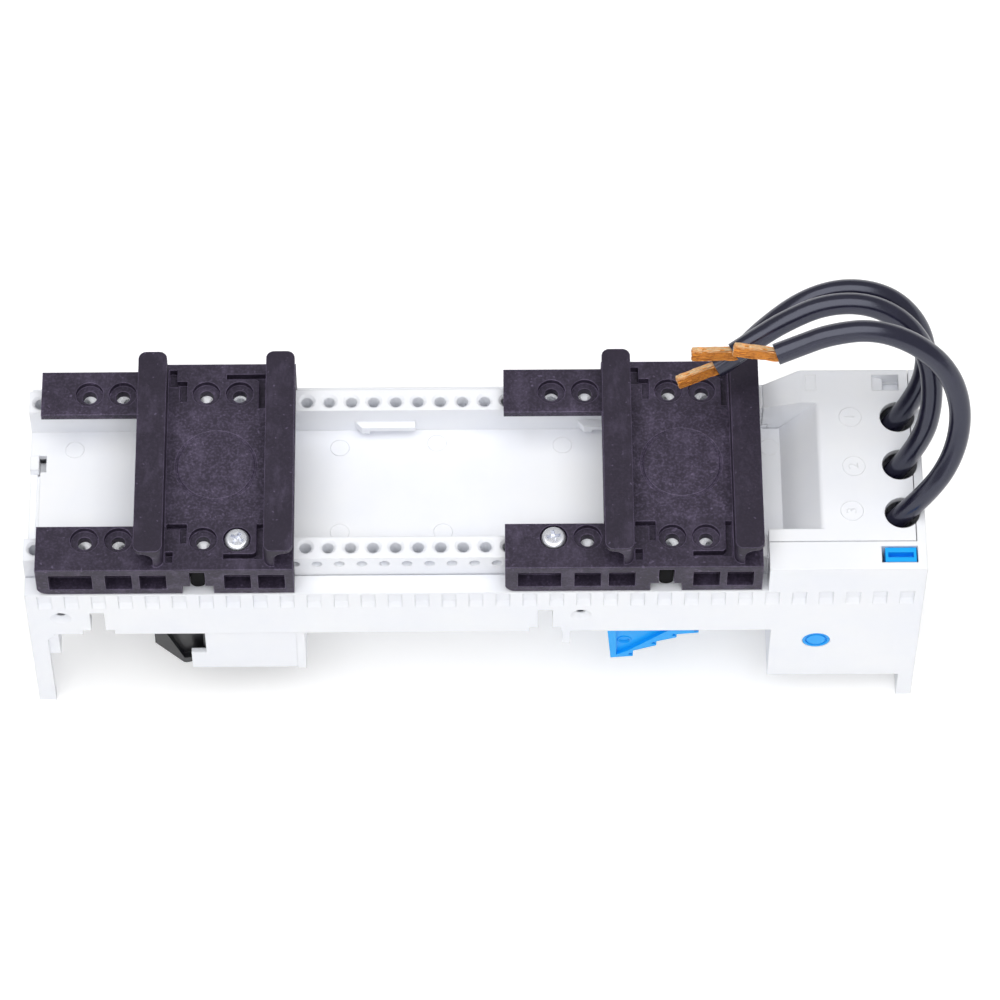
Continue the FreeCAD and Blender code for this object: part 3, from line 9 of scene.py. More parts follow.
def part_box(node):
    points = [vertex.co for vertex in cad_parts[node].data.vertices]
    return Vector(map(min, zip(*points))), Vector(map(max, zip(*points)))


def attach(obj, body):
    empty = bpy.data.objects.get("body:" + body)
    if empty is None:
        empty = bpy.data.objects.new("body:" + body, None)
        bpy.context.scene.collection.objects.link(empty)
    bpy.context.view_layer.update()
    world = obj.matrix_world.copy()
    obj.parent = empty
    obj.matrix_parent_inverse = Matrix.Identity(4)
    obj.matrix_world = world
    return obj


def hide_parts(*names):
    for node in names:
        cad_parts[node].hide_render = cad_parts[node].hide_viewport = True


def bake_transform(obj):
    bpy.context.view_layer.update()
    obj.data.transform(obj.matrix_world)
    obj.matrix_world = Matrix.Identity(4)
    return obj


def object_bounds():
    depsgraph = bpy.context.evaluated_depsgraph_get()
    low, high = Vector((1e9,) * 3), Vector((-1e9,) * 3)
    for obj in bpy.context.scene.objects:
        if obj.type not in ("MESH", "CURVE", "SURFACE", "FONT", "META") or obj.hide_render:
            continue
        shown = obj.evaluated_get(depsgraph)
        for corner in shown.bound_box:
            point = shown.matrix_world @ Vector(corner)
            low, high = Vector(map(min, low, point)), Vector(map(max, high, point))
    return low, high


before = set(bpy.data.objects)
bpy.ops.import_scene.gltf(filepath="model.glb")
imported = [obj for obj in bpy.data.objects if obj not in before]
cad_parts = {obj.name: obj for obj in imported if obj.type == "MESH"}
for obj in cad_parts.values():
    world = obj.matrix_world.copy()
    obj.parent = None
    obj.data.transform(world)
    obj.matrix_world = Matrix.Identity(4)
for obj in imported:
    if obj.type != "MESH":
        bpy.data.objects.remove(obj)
CAD_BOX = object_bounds()

bl_info = {
    "name": "Busbar adapter looks",
    "version": (1, 0, 0),
    "blender": (4, 5, 0),
    "location": "View3D > Sidebar > Adapter",
    "description": "Finishes, wires and small parts of a three-phase busbar adapter",
    "category": "Object",
}

MM = 0.001


def corners(node):
    """Low and high corner of a CAD node, in millimetres."""
    low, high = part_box(node)
    return Vector(low) / MM, Vector(high) / MM


def both_sides(low, high):
    """A box and its mirror image across the middle of the part."""
    return [(low, high), ((low[0], -high[1], low[2]), (high[0], -low[1], high[2]))]


# Lengths in these values are in millimetres and angles in degrees, unless a comment says otherwise.
DECK_LOW, DECK_HIGH = corners("deck_plate")
COVER_LOW, COVER_HIGH = corners("terminal_cover")
DECK_THICKNESS = 1.6
DECK_FLOOR = DECK_LOW.z + DECK_THICKNESS
COVER_TOP = COVER_HIGH.z

# Camera of the photograph: picture width and focal length in pixels, where it aims, how far off it stands,
# its angles, and how far the picture's middle lies to the right of the aim and above it.
PICTURE_WIDTH = 1000.0
FOCAL_PIXELS = 5268.37
SENSOR_WIDTH = 36.0
CAMERA_AIM = (0.0, 0.0, 25.0)
CAMERA_DISTANCE = 1202.914
CAMERA_AZIMUTH = -0.627
CAMERA_ELEVATION = 59.097
CAMERA_ROLL = 0.163
SHIFT_RIGHT = 5.858
SHIFT_UP = 9.199

# Middle of each cable mouth, and the free wire's route from there and its length, as in the part's source.
MOUTHS = {"l1": (95.0, 12.5, 56.3), "l2": (95.0, 0.0, 56.3), "l3": (95.0, -12.5, 56.3)}
ROUTES = {
    "l1": [(4.5, 1.5, 8.7), (6.0, 5.2, 17.5), (3.5, 9.2, 25.7), (-3.0, 12.2, 31.9), (-12.5, 12.9, 34.3),
           (-22.0, 11.2, 32.3), (-31.0, 7.3, 26.2), (-36.6, 4.3, 20.0), (-41.1, 2.5, 18.1)],
    "l2": [(4.5, 1.0, 9.2), (6.5, 5.5, 18.2), (5.5, 11.0, 27.2), (0.5, 15.5, 34.7), (-8.0, 18.0, 39.2),
           (-18.0, 17.6, 39.7), (-27.0, 14.9, 36.8), (-33.5, 12.2, 33.5), (-37.9, 9.9, 31.9)],
    "l3": [(6.0, 1.0, 8.7), (11.0, 6.0, 16.7), (12.0, 11.5, 26.2), (8.5, 15.5, 35.7), (1.0, 18.0, 42.7),
           (-8.5, 19.0, 46.7), (-18.0, 18.0, 46.1), (-24.6, 16.7, 43.6), (-29.4, 15.3, 42.5)],
}
# Where the copper ends point, and the side that their wide faces look to.
STRAND_HEADINGS = {
    "l1": (-0.934, -0.306, -0.184),
    "l2": (-1.0, -0.014, -0.009),
    "l3": (-0.992, 0.108, 0.065),
}
STRAND_FACE = Vector((0.0, -0.97, 0.24))
# Strands across and along a copper end in its finish, the swells of its block, with their size as a share
# of its UV map, its rounded edges, and the cuts that make it fine enough to swell. A face of the block
# whose normal has less than the last value along Z is a narrow side; narrow sides get a paler copy of the
# copper, a painted highlight for the upper one that faces the light.
STRAND_SCALE = (34.0, 1.6, 1.0)
SWELL_SIZE = 0.11
SWELL_HEIGHT = 0.55
END_ROUNDING = 0.25
END_CUTS = 9
HIGHLIT_SIDE_TILT = 0.7

# Moulding marks: ejector circles on the deck, lane numbers by the cable holes, a small frame on the cover.
EJECTOR_PLACES = [(-30.2, 11.8), (-8.3, 12.9), (20.0, 12.2), (-30.1, -10.3), (-7.0, -10.4), (66.8, 11.3),
                  (-90.1, 11.7)]
NUMBER_PLACES = {"1": (84.5, 12.6), "2": (84.8, -0.3), "3": (83.9, -11.9)}
FRAME_PLACE = (75.9, 21.6)
# The frame's border and the depth of its middle, in heights of a mark.
FRAME_BORDER = 3.0
FRAME_SINK = 0.9

# Lips behind the open joints, from corner to corner: ramp foot, under the cover's sides, between the cover
# and the strips, far end, clip opening.
RECESS_SIDE = 16.4
LIPS = [
    ((DECK_HIGH.x - 0.06, -RECESS_SIDE, DECK_LOW.z), (DECK_HIGH.x + 0.30, RECESS_SIDE, DECK_FLOOR - 0.05)),
    *both_sides((COVER_LOW.x + 1.1, 16.5, DECK_LOW.z), (COVER_LOW.x + 5.1, 16.9, DECK_LOW.z + 3.05)),
    *both_sides((COVER_LOW.x - 0.5, 17.05, DECK_LOW.z), (COVER_LOW.x + 0.2, 22.3, DECK_HIGH.z - 0.2)),
    ((DECK_LOW.x + 1.5, -RECESS_SIDE, DECK_LOW.z - 1.5), (DECK_LOW.x + 2.4, 5.8, DECK_LOW.z - 0.05)),
    ((DECK_LOW.x + 1.5, 5.7, DECK_LOW.z - 2.9), (DECK_LOW.x + 3.8, 10.4, DECK_LOW.z - 1.9)),
]
LIP_ROUNDING = 0.04
# Floor of the cover's window, the block at its left, and how far the block's left edge rises.
WINDOW_LEFT = COVER_HIGH.x - 8.2
WINDOW_FRONT = COVER_HIGH.y - 5.6
WINDOW_REAR = COVER_HIGH.y - 1.32
WINDOW_FLOOR = ((WINDOW_LEFT, WINDOW_FRONT, COVER_TOP - 4.7),
                (COVER_HIGH.x - 1.8, WINDOW_REAR, COVER_TOP - 3.8))
WINDOW_BLOCK = ((WINDOW_LEFT, WINDOW_FRONT, COVER_TOP - 4.5),
                (WINDOW_LEFT + 2.6, WINDOW_REAR, COVER_TOP - 1.6))
WINDOW_RISE = 1.1

# Rail carriers, and the slots round their screw pads as boxes: start and end along the carrier from the
# inner face of the nearer flange, then start and end outwards from the row of holes.
CARRIERS = ("rail_carrier_left", "rail_carrier_right")
RAIL_WIDTH = 35.0
RAIL_HEIGHT = 6.7
FLANGE_WIDTH = 6.4
PLATE_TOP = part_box(CARRIERS[0])[1][2] / MM - RAIL_HEIGHT
HOLE_ROW = 19.0
SLOT_DEPTH = 2.0
SLOT_CLEARANCE = 1.0
LEFT_SLOTS_REAR = [(0.2, 2.0, 2.0, 6.3), (0.2, 4.3, 1.8, 3.3), (2.7, 4.3, -2.1, 3.3)]
LEFT_SLOTS_FRONT = [(0.4, 5.0, -4.0, -2.6), (3.5, 5.0, -4.0, 1.0)]
RIGHT_SLOTS = [(-1.8, -0.3, -3.9, 5.0), (-9.1, -0.3, 3.7, 5.1)]
CIRCLE_RADIUS = 8.82
CIRCLE_GROOVE = 0.36
# Painted shade in each carrier's front skirt slot, a dark piece for the deep hole: place along the carrier,
# setback, top, then width, thickness and height, and the rounding of its lower end as a share of the width.
SLOT_SHADE_ALONG = 35.7
SLOT_SHADE_SETBACK = 1.3
SLOT_SHADE_TOP = PLATE_TOP - 1.25
SLOT_SHADE_SIZE = (3.1, 2.0, 8.2)
SLOT_SHADE_ROUNDING = 0.48

# Screws: the raster holes that they sit in, the turn of the first and of each next one in radians, the
# rounded rim of the head, and the blades of the cross recess with how much they narrow downwards.
RASTER_MARGIN = 2.5
RASTER_PITCH = 5.0
SCREW_HOLES = (9, 23)
SCREW_PLACES = [(DECK_LOW.x + RASTER_MARGIN + hole * RASTER_PITCH, -HOLE_ROW) for hole in SCREW_HOLES]
FIRST_TURN = 0.5
NEXT_TURN = 0.9
HEAD_ROUNDING = 0.75
BLADE_SIZE = (3.7, 1.0, 2.8)
BLADE_TAPER = 0.7

# Pits beside the lever's teeth, along and up, and the middle of the ring in its panel, all from the lever's
# low corner.
LEVER_LOW = corners("lock_lever")[0]
PIT_PLACES = [(6.1, 1.6), (11.3, 6.5), (15.8, 10.1), (20.7, 12.2)]
PIT_RADIUS = 0.45
PIT_LENGTH = 1.6
RING_PLACE = (4.6, 0.9, 6.7)
RING_RADIUS = 1.45
RING_SECTION = 0.22
# Each spring's axis and the body that presses its low end.
SPRINGS = {"latch_spring": (0, "latch"), "lock_spring": (2, "lever"), "contact_spring_l1": (2, "foot_l1"),
           "contact_spring_l2": (2, "foot_l2"), "contact_spring_l3": (2, "foot_l3")}

# Stage, in metres: the floor and its rim, where its glow grows and how bright it gets, and the lights.
FLOOR_SIZE = 10.0
FLOOR_RIM = 0.9
GLOW_NEAR = 0.8
GLOW_FAR = 2.5
FAR_GLOW = 0.8
KEY_PLACE = (-0.05, -0.38, 1.75)
KEY_SIZE = 2.1
FILL_PLACE = (0.1, -1.7, 0.8)
FILL_SIZE = 1.0
LIGHT_AIM = (0.0, 0.0, 0.03)

# A face whose normal has more than UPRIGHT along Z looks up. Corners closer than MERGE_DISTANCE are merged.
UPRIGHT = 0.9
MERGE_DISTANCE = 0.002
QUARTER_TURN = math.pi / 2


def linear(red, green, blue):
    """A colour given in 0 to 255 screen values, as Blender's linear colour."""
    return tuple(
        c / 12.92 if c <= 0.04045 else ((c + 0.055) / 1.055) ** 2.4
        for c in (red / 255, green / 255, blue / 255)
    )


def colour_setting(name, description, screen):
    return bpy.props.FloatVectorProperty(
        name=name, description=description, default=linear(*screen), subtype="COLOR", size=3,
        min=0.0, max=1.0)


def length_setting(name, description, millimetres):
    return bpy.props.FloatProperty(
        name=name, description=description, default=millimetres * MM, unit="LENGTH", subtype="DISTANCE",
        min=0.0)


def light_setting(name, description, strength, unit="NONE"):
    return bpy.props.FloatProperty(name=name, description=description, default=strength, min=0.0, unit=unit)


class AdapterColours(bpy.types.PropertyGroup):
    """Colours of the finishes"""
    housing: colour_setting("Housing", "Grey of the housing mouldings", (244, 246, 252))
    carrier: colour_setting("Carriers", "Black of the rail carriers", (36, 29, 45))
    # The pale colour is dust and scuffs, and on the edges partly a painted highlight.
    carrier_dust_and_highlight: colour_setting("Carrier dust and highlight", "Pale dust and scuffs on the carriers, and a painted highlight on their edges", (124, 112, 142))
    latch: colour_setting("Latch", "Black of the sprung latch", (25, 25, 29))
    release: colour_setting("Release parts", "Blue of the lever, rocker and release slide", (0, 168, 255))
    # The paler blue goes into clouds of tone and onto edges, where it is partly worn and partly a painted
    # highlight.
    release_pale: colour_setting("Pale release parts", "Paler blue in clouds and at edges, partly worn and partly a painted highlight", (36, 184, 255))
    zinc: colour_setting("Zinc", "Zinc plating of screws and pins", (238, 240, 247))
    spring: colour_setting("Spring steel", "Drawn wire of the springs", (150, 148, 145))
    contact: colour_setting("Contacts", "Tinned copper of the contact feet", (205, 200, 190))
    wire: colour_setting("Wire", "Black insulation of the wires", (26, 25, 42))
    copper: colour_setting("Copper", "Bare compacted copper strands", (255, 168, 70))
    copper_dark: colour_setting("Copper gaps", "Tarnish between the strands", (118, 42, 12))
    # A paler copy of the copper for the copper ends' narrow sides: a painted highlight where they face up.
    copper_side_highlight: colour_setting("Copper side highlight", "Paler copper painted on the narrow sides as a highlight", (255, 228, 184))


class AdapterSizes(bpy.types.PropertyGroup):
    """Sizes of the pieces that the scene adds"""
    wire_diameter: length_setting("Wire diameter", "Diameter over the insulation", 4.8)
    end_length: length_setting("Copper length", "Length of a bare copper end", 9.3)
    end_root: length_setting("Copper root", "Length of a copper end inside the insulation", 1.2)
    end_width: length_setting("Copper width", "Width of a compacted copper end", 2.8)
    end_thickness: length_setting("Copper thickness", "Thickness of a compacted copper end", 1.8)
    ejector_mark: length_setting("Ejector mark", "Diameter of an ejector circle on the deck", 4.2)
    number_height: length_setting("Number height", "Height of a lane number on the cover", 3.2)
    number_ring: length_setting("Number ring", "Diameter of the circle round a lane number", 5.0)
    mark_height: length_setting("Mark height", "How far a moulding mark stands out", 0.1)
    frame_length: length_setting("Frame length", "Length of the small frame on the cover", 2.6)
    frame_width: length_setting("Frame width", "Width of the small frame on the cover", 4.3)
    screw_head: length_setting("Screw head", "Diameter of a carrier screw's head", 5.4)
    screw_head_height: length_setting("Screw head height", "Height of a carrier screw's head", 1.9)
    screw_shank: length_setting("Screw shank", "Diameter of a carrier screw's shank", 2.4)


class AdapterStage(bpy.types.PropertyGroup):
    """The studio"""
    floor: colour_setting("Floor", "Colour of the floor", (250, 250, 250))
    key_power: light_setting("Key light", "Power of the large overhead light", 30.0, "POWER")
    fill_power: light_setting("Fill light", "Power of the front light", 2.6, "POWER")
    sky: light_setting("Room light", "Strength of the even light of the room", 0.41)
    floor_glow: light_setting("Floor glow", "Light that the floor adds where the camera sees it", 0.26)


class Value:
    """A shader value. Sums on it add Math nodes to its finish."""

    def __init__(self, finish, source):
        self.finish = finish
        self.source = source

    def math(self, operation, first, second):
        return self.finish.node("Math", {"operation": operation}, {"Value": first, "Value_001": second})

    def __add__(self, other):
        return self.math("ADD", self, other)

    def __sub__(self, other):
        return self.math("SUBTRACT", self, other)

    def __rsub__(self, other):
        return self.math("SUBTRACT", other, self)

    def __mul__(self, other):
        return self.math("MULTIPLY", self, other)

    __radd__ = __add__
    __rmul__ = __mul__


class Finish:
    """One material and its nodes."""

    def __init__(self, name):
        self.material = bpy.data.materials.new(name)
        self.material.use_nodes = True
        self.tree = self.material.node_tree
        self.tree.nodes.clear()

    def node(self, kind, settings=None, sockets=None, output=None):
        """Adds a node of that kind and gives one of its outputs."""
        made = self.tree.nodes.new("ShaderNode" + kind)
        for key, setting in (settings or {}).items():
            setattr(made, key, setting)
        inputs = {socket.identifier: socket for socket in made.inputs}
        for key, given in (sockets or {}).items():
            if isinstance(given, Value):
                self.tree.links.new(given.source, inputs[key])
            else:
                inputs[key].default_value = given
        outputs = [socket for socket in made.outputs if socket.enabled]
        chosen = next(socket for socket in outputs if output in (None, socket.identifier))
        return Value(self, chosen)

    def place(self):
        """Object coordinates."""
        return self.node("TexCoord", output="Object")

    def stretched(self, place, scale):
        """Coordinates scaled along each axis, so that a noise gets finer there."""
        return self.node("Mapping", {}, {"Vector": place, "Scale": scale})

    def noise(self, place, per_metre, detail=3.0, roughness=0.55):
        return self.node("TexNoise", {}, {
            "Vector": place, "Scale": per_metre, "Detail": detail, "Roughness": roughness})

    def ramp(self, value, low, high):
        """The value, spread so that low becomes 0 and high becomes 1."""
        return self.node("MapRange", {"clamp": True}, {"Value": value, "From Min": low, "From Max": high})

    def mix(self, factor, first, second):
        """From the first colour at 0 to the second at 1."""
        return self.node("Mix", {"data_type": "RGBA"}, {
            "Factor_Float": factor, "A_Color": first, "B_Color": second}, "Result_Color")

    def edges(self, radius):
        """0 on flat faces, more towards edges and corners, and the rounded normal."""
        soft = self.node("Bevel", {"samples": 6}, {"Radius": radius})
        true = self.node("NewGeometry", output="Normal")
        turned = self.node("VectorMath", {"operation": "DOT_PRODUCT"}, {
            "Vector": soft, "Vector_001": true}, "Value")
        return 1.0 - turned, soft

    def bump(self, height, distance, strength, normal=None):
        sockets = {"Height": height, "Distance": distance, "Strength": strength}
        if normal is not None:
            sockets["Normal"] = normal
        return self.node("Bump", {}, sockets)

    def close(self, **sockets):
        """Ends in a principled shader with these sockets."""
        named = {}
        for key, given in sockets.items():
            named[key.replace("_", " ").title().replace("Ior", "IOR")] = given
        self.end(self.node("BsdfPrincipled", {}, named))
        return self.material

    def end(self, shader):
        """Joins a shader to the material's output."""
        output = self.tree.nodes.new("ShaderNodeOutputMaterial")
        self.tree.links.new(shader.source, output.inputs["Surface"])


def rgba(colour):
    return (colour[0], colour[1], colour[2], 1.0)


def shade(colour, factor, lift=0.0):
    """A colour made lighter or darker by a factor, with white added."""
    return [c * factor + lift for c in colour]


def moulded_plastic(name, colour, pale, roughness, edge_radius, cloud=0.5, specular=0.5):
    """Moulded plastic: faint clouds of tone, an eroded grain, and rounded edges that catch light, painted
    paler as partly worn edges and partly a painted highlight.
    """
    finish = Finish(name)
    place = finish.place()
    clouds = finish.noise(place, per_metre=55.0, detail=4.0)
    grains = finish.noise(place, per_metre=2600.0, detail=2.0, roughness=0.6)
    across = finish.stretched(place, (1.0, 3.0, 1.0))
    scuffs = finish.noise(across, per_metre=210.0, detail=5.0, roughness=0.65)
    edge, soft = finish.edges(edge_radius * MM)
    # Paler edges: partly worn, partly a painted highlight where the rounded edges catch the light.
    wear_and_edge_highlight = finish.ramp(edge * (0.6 + scuffs), low=0.02, high=0.30) * 0.35
    tone = finish.mix(finish.ramp(clouds, low=0.35, high=0.75) * cloud, rgba(colour), rgba(pale))
    tone = finish.mix(wear_and_edge_highlight, tone, rgba(pale))
    rough = roughness + (clouds - 0.5) * 0.16 + (scuffs - 0.5) * 0.18
    normal = finish.bump(grains + scuffs * 0.6, distance=0.03 * MM, strength=0.5, normal=soft)
    return finish.close(base_color=tone, roughness=rough, normal=normal, specular_ior_level=specular)


def filled_nylon(name, colour, pale):
    """Glass-filled nylon: a dusty bed, smears along the flanges, white specks, and paler edges, partly
    rubbed and partly a painted highlight.
    """
    finish = Finish(name)
    place = finish.place()
    height = finish.node("SeparateXYZ", {}, {"Vector": place}, "Z")
    across = finish.node("Math", {"operation": "ABSOLUTE"}, {
        "Value": finish.node("SeparateXYZ", {}, {"Vector": place}, "Y")})
    flanges = finish.ramp(height, low=(PLATE_TOP + 0.6) * MM, high=(PLATE_TOP + 4.1) * MM)
    margins = finish.ramp(across, low=(HOLE_ROW - 5.5) * MM, high=(HOLE_ROW - 3.0) * MM)
    bed = (1.0 - flanges * 0.75) * (1.0 - margins * 0.45)
    cloudy = finish.noise(place, per_metre=240.0, detail=6.0, roughness=0.7)
    patches = finish.ramp(cloudy, low=0.46, high=0.72)
    speckle = finish.noise(place, per_metre=1700.0, detail=2.0, roughness=0.6)
    wiped = finish.noise(
        finish.stretched(place, (1.0, 0.4, 1.0)), per_metre=170.0, detail=6.0, roughness=0.7)
    smears = finish.ramp(wiped, low=0.52, high=0.74)
    spots = finish.noise(place, per_metre=800.0, detail=1.0, roughness=0.5)
    specks = finish.ramp(spots, low=0.70, high=0.76)
    edge, soft = finish.edges(0.4 * MM)
    dust = bed * (0.06 + patches * 0.18 + finish.ramp(speckle, low=0.45, high=0.75) * 0.32)
    dust = dust + smears * 0.20 + specks * 0.3
    # Paler edges: partly rubbed, partly a painted highlight where the rounded edges catch the light.
    dust = dust + finish.ramp(edge * (0.5 + patches), low=0.01, high=0.14) * 0.6
    tone = finish.mix(dust, rgba(colour), rgba(pale))
    rough = 0.55 + (speckle - 0.5) * 0.2 - smears * 0.08
    normal = finish.bump(speckle + smears * 0.4, distance=0.08 * MM, strength=0.6, normal=soft)
    return finish.close(base_color=tone, roughness=rough, normal=normal, specular_ior_level=0.32)


def plated_metal(name, colour, roughness, stretch=(1.0, 1.0, 1.0), metallic=1.0, stain=0.45):
    """Plated or drawn metal with fine lines and uneven lustre."""
    finish = Finish(name)
    place = finish.place()
    lines = finish.noise(finish.stretched(place, stretch), per_metre=900.0, roughness=0.6)
    spots = finish.noise(place, per_metre=260.0, detail=4.0, roughness=0.6)
    stains = finish.ramp(spots, low=0.4, high=0.8) * stain
    tone = finish.mix(stains, rgba(colour), rgba(shade(colour, factor=0.55)))
    rough = roughness + (lines - 0.5) * 0.25 + (spots - 0.5) * 0.2
    normal = finish.bump(lines, distance=0.03 * MM, strength=0.5)
    return finish.close(base_color=tone, roughness=rough, normal=normal, metallic=metallic)


def wire_insulation(name, colour):
    """Black insulation with a slight gloss, fine wipes and dust."""
    finish = Finish(name)
    place = finish.place()
    dust = finish.noise(place, per_metre=320.0, detail=5.0, roughness=0.65)
    wipes = finish.noise(place, per_metre=1500.0, roughness=0.6)
    dusty = finish.ramp(dust, low=0.5, high=0.85) * 0.35
    tone = finish.mix(dusty, rgba(colour), rgba(shade(colour, factor=2.4, lift=0.004)))
    rough = 0.21 + (dust - 0.5) * 0.10 + (wipes - 0.5) * 0.06
    normal = finish.bump(wipes, distance=0.03 * MM, strength=0.4)
    return finish.close(base_color=tone, roughness=rough, normal=normal, specular_ior_level=0.8,
                        specular_tint=(0.82, 0.85, 1.0, 1.0))


def compacted_copper(name, bright, dark):
    """Welded copper strands: lines along the piece's own V direction with tarnish between them."""
    finish = Finish(name)
    along = finish.node("TexCoord", output="UV")
    strands = finish.noise(finish.stretched(along, STRAND_SCALE), per_metre=1.0, roughness=0.6)
    pits = finish.noise(finish.place(), per_metre=1500.0, detail=4.0, roughness=0.6)
    gaps = finish.ramp(strands, low=0.40, high=0.52)
    tone = finish.mix(gaps, rgba(dark), rgba(bright))
    tone = finish.mix(finish.ramp(pits, low=0.50, high=0.72) * 0.6, tone, rgba(dark))
    rough = 0.22 + (1.0 - gaps) * 0.3 + (pits - 0.5) * 0.2
    normal = finish.bump(strands + pits * 0.7, distance=0.3 * MM, strength=1.0)
    return finish.close(base_color=tone, roughness=rough, normal=normal, metallic=0.45)


def deselect_all():
    if bpy.context.object and bpy.context.object.mode != "OBJECT":
        bpy.ops.object.mode_set(mode="OBJECT")
    bpy.ops.object.select_all(action="DESELECT")


def only(piece):
    """Makes the piece the one selected and active object."""
    deselect_all()
    piece.select_set(True)
    bpy.context.view_layer.objects.active = piece


def settle(piece):
    """Puts the piece's place into its mesh."""
    only(piece)
    bpy.ops.object.transform_apply(location=True, rotation=True, scale=True)


def cut(piece, cutter):
    """Takes the cutter's solid out of the piece."""
    only(piece)
    bpy.ops.object.modifier_add(type="BOOLEAN")
    modifier = piece.modifiers[-1]
    modifier.operation = "DIFFERENCE"
    modifier.solver = "EXACT"
    modifier.object = cutter
    bpy.ops.object.modifier_apply(modifier=modifier.name)
    bpy.data.objects.remove(cutter)


def cuboid(middle, size):
    """A box round its middle, given in metres."""
    deselect_all()
    bpy.ops.mesh.primitive_cube_add(size=1.0, location=middle)
    piece = bpy.context.object
    bpy.ops.object.mode_set(mode="EDIT")
    bpy.ops.mesh.select_all(action="SELECT")
    bpy.ops.transform.resize(value=size)
    bpy.ops.object.mode_set(mode="OBJECT")
    settle(piece)
    return piece


def block(low, high):
    """A box between two corners, given in millimetres."""
    low, high = Vector(low) * MM, Vector(high) * MM
    return cuboid((low + high) / 2, high - low)


def torus(middle, radius, section, segments, turn=(0.0, 0.0, 0.0)):
    """A ring of that radius whose round section has the second radius, given in metres."""
    deselect_all()
    bpy.ops.mesh.primitive_torus_add(
        location=middle, rotation=turn, major_radius=radius, minor_radius=section,
        major_segments=segments[0], minor_segments=segments[1])
    piece = bpy.context.object
    settle(piece)
    return piece


def choose(piece, kind, wanted):
    """Selects the piece's wanted faces or edges, and stays in edit mode."""
    bpy.ops.object.mode_set(mode="EDIT")
    bpy.ops.mesh.select_mode(type=kind)
    bpy.ops.mesh.select_all(action="DESELECT")
    bpy.ops.object.mode_set(mode="OBJECT")
    for element in piece.data.polygons if kind == "FACE" else piece.data.edges:
        element.select = wanted(element)
    bpy.ops.object.mode_set(mode="EDIT")


def joined(pieces, name):
    """One piece made of these."""
    only(pieces[0])
    for piece in pieces:
        piece.select_set(True)
    bpy.ops.object.join()
    piece = bpy.context.object
    piece.name = name
    return piece


def smooth(piece, degrees):
    """Shades the piece smooth where its faces meet at less than an angle."""
    only(piece)
    bpy.ops.object.shade_smooth_by_angle(angle=math.radians(degrees))


def merged_copy(name, node):
    """A copy of a CAD node with its loose triangles merged."""
    piece = bpy.data.objects.new(name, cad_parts[node].data.copy())
    bpy.context.collection.objects.link(piece)
    only(piece)
    bpy.ops.object.mode_set(mode="EDIT")
    bpy.ops.mesh.select_all(action="SELECT")
    bpy.ops.mesh.remove_doubles(threshold=MERGE_DISTANCE * MM)
    bpy.ops.object.mode_set(mode="OBJECT")
    return piece


def paint(piece, material):
    piece.data.materials.clear()
    piece.data.materials.append(material)


def paint_nodes(material, *names):
    """Gives this finish to CAD nodes that no piece replaces."""
    for name in names:
        paint(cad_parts[name], material)


class ADAPTER_OT_camera(bpy.types.Operator):
    """Set the camera at the photograph's viewing angle"""
    bl_idname = "adapter.camera"
    bl_label = "Set camera"

    def execute(self, context):
        turn = (Matrix.Rotation(math.radians(CAMERA_AZIMUTH), 3, "Z")
                @ Matrix.Rotation(QUARTER_TURN - math.radians(CAMERA_ELEVATION), 3, "X")
                @ Matrix.Rotation(math.radians(CAMERA_ROLL), 3, "Z"))
        place = Vector(CAMERA_AIM) + turn @ Vector((SHIFT_RIGHT, SHIFT_UP, CAMERA_DISTANCE))
        deselect_all()
        bpy.ops.object.camera_add(location=place * MM, rotation=turn.to_euler())
        camera = context.object
        camera.name = "photo_camera"
        camera.data.sensor_fit = "HORIZONTAL"
        camera.data.sensor_width = SENSOR_WIDTH
        camera.data.lens = FOCAL_PIXELS * SENSOR_WIDTH / PICTURE_WIDTH
        camera.data.clip_start = 0.01
        camera.data.clip_end = 50.0
        context.scene.camera = camera
        return {"FINISHED"}


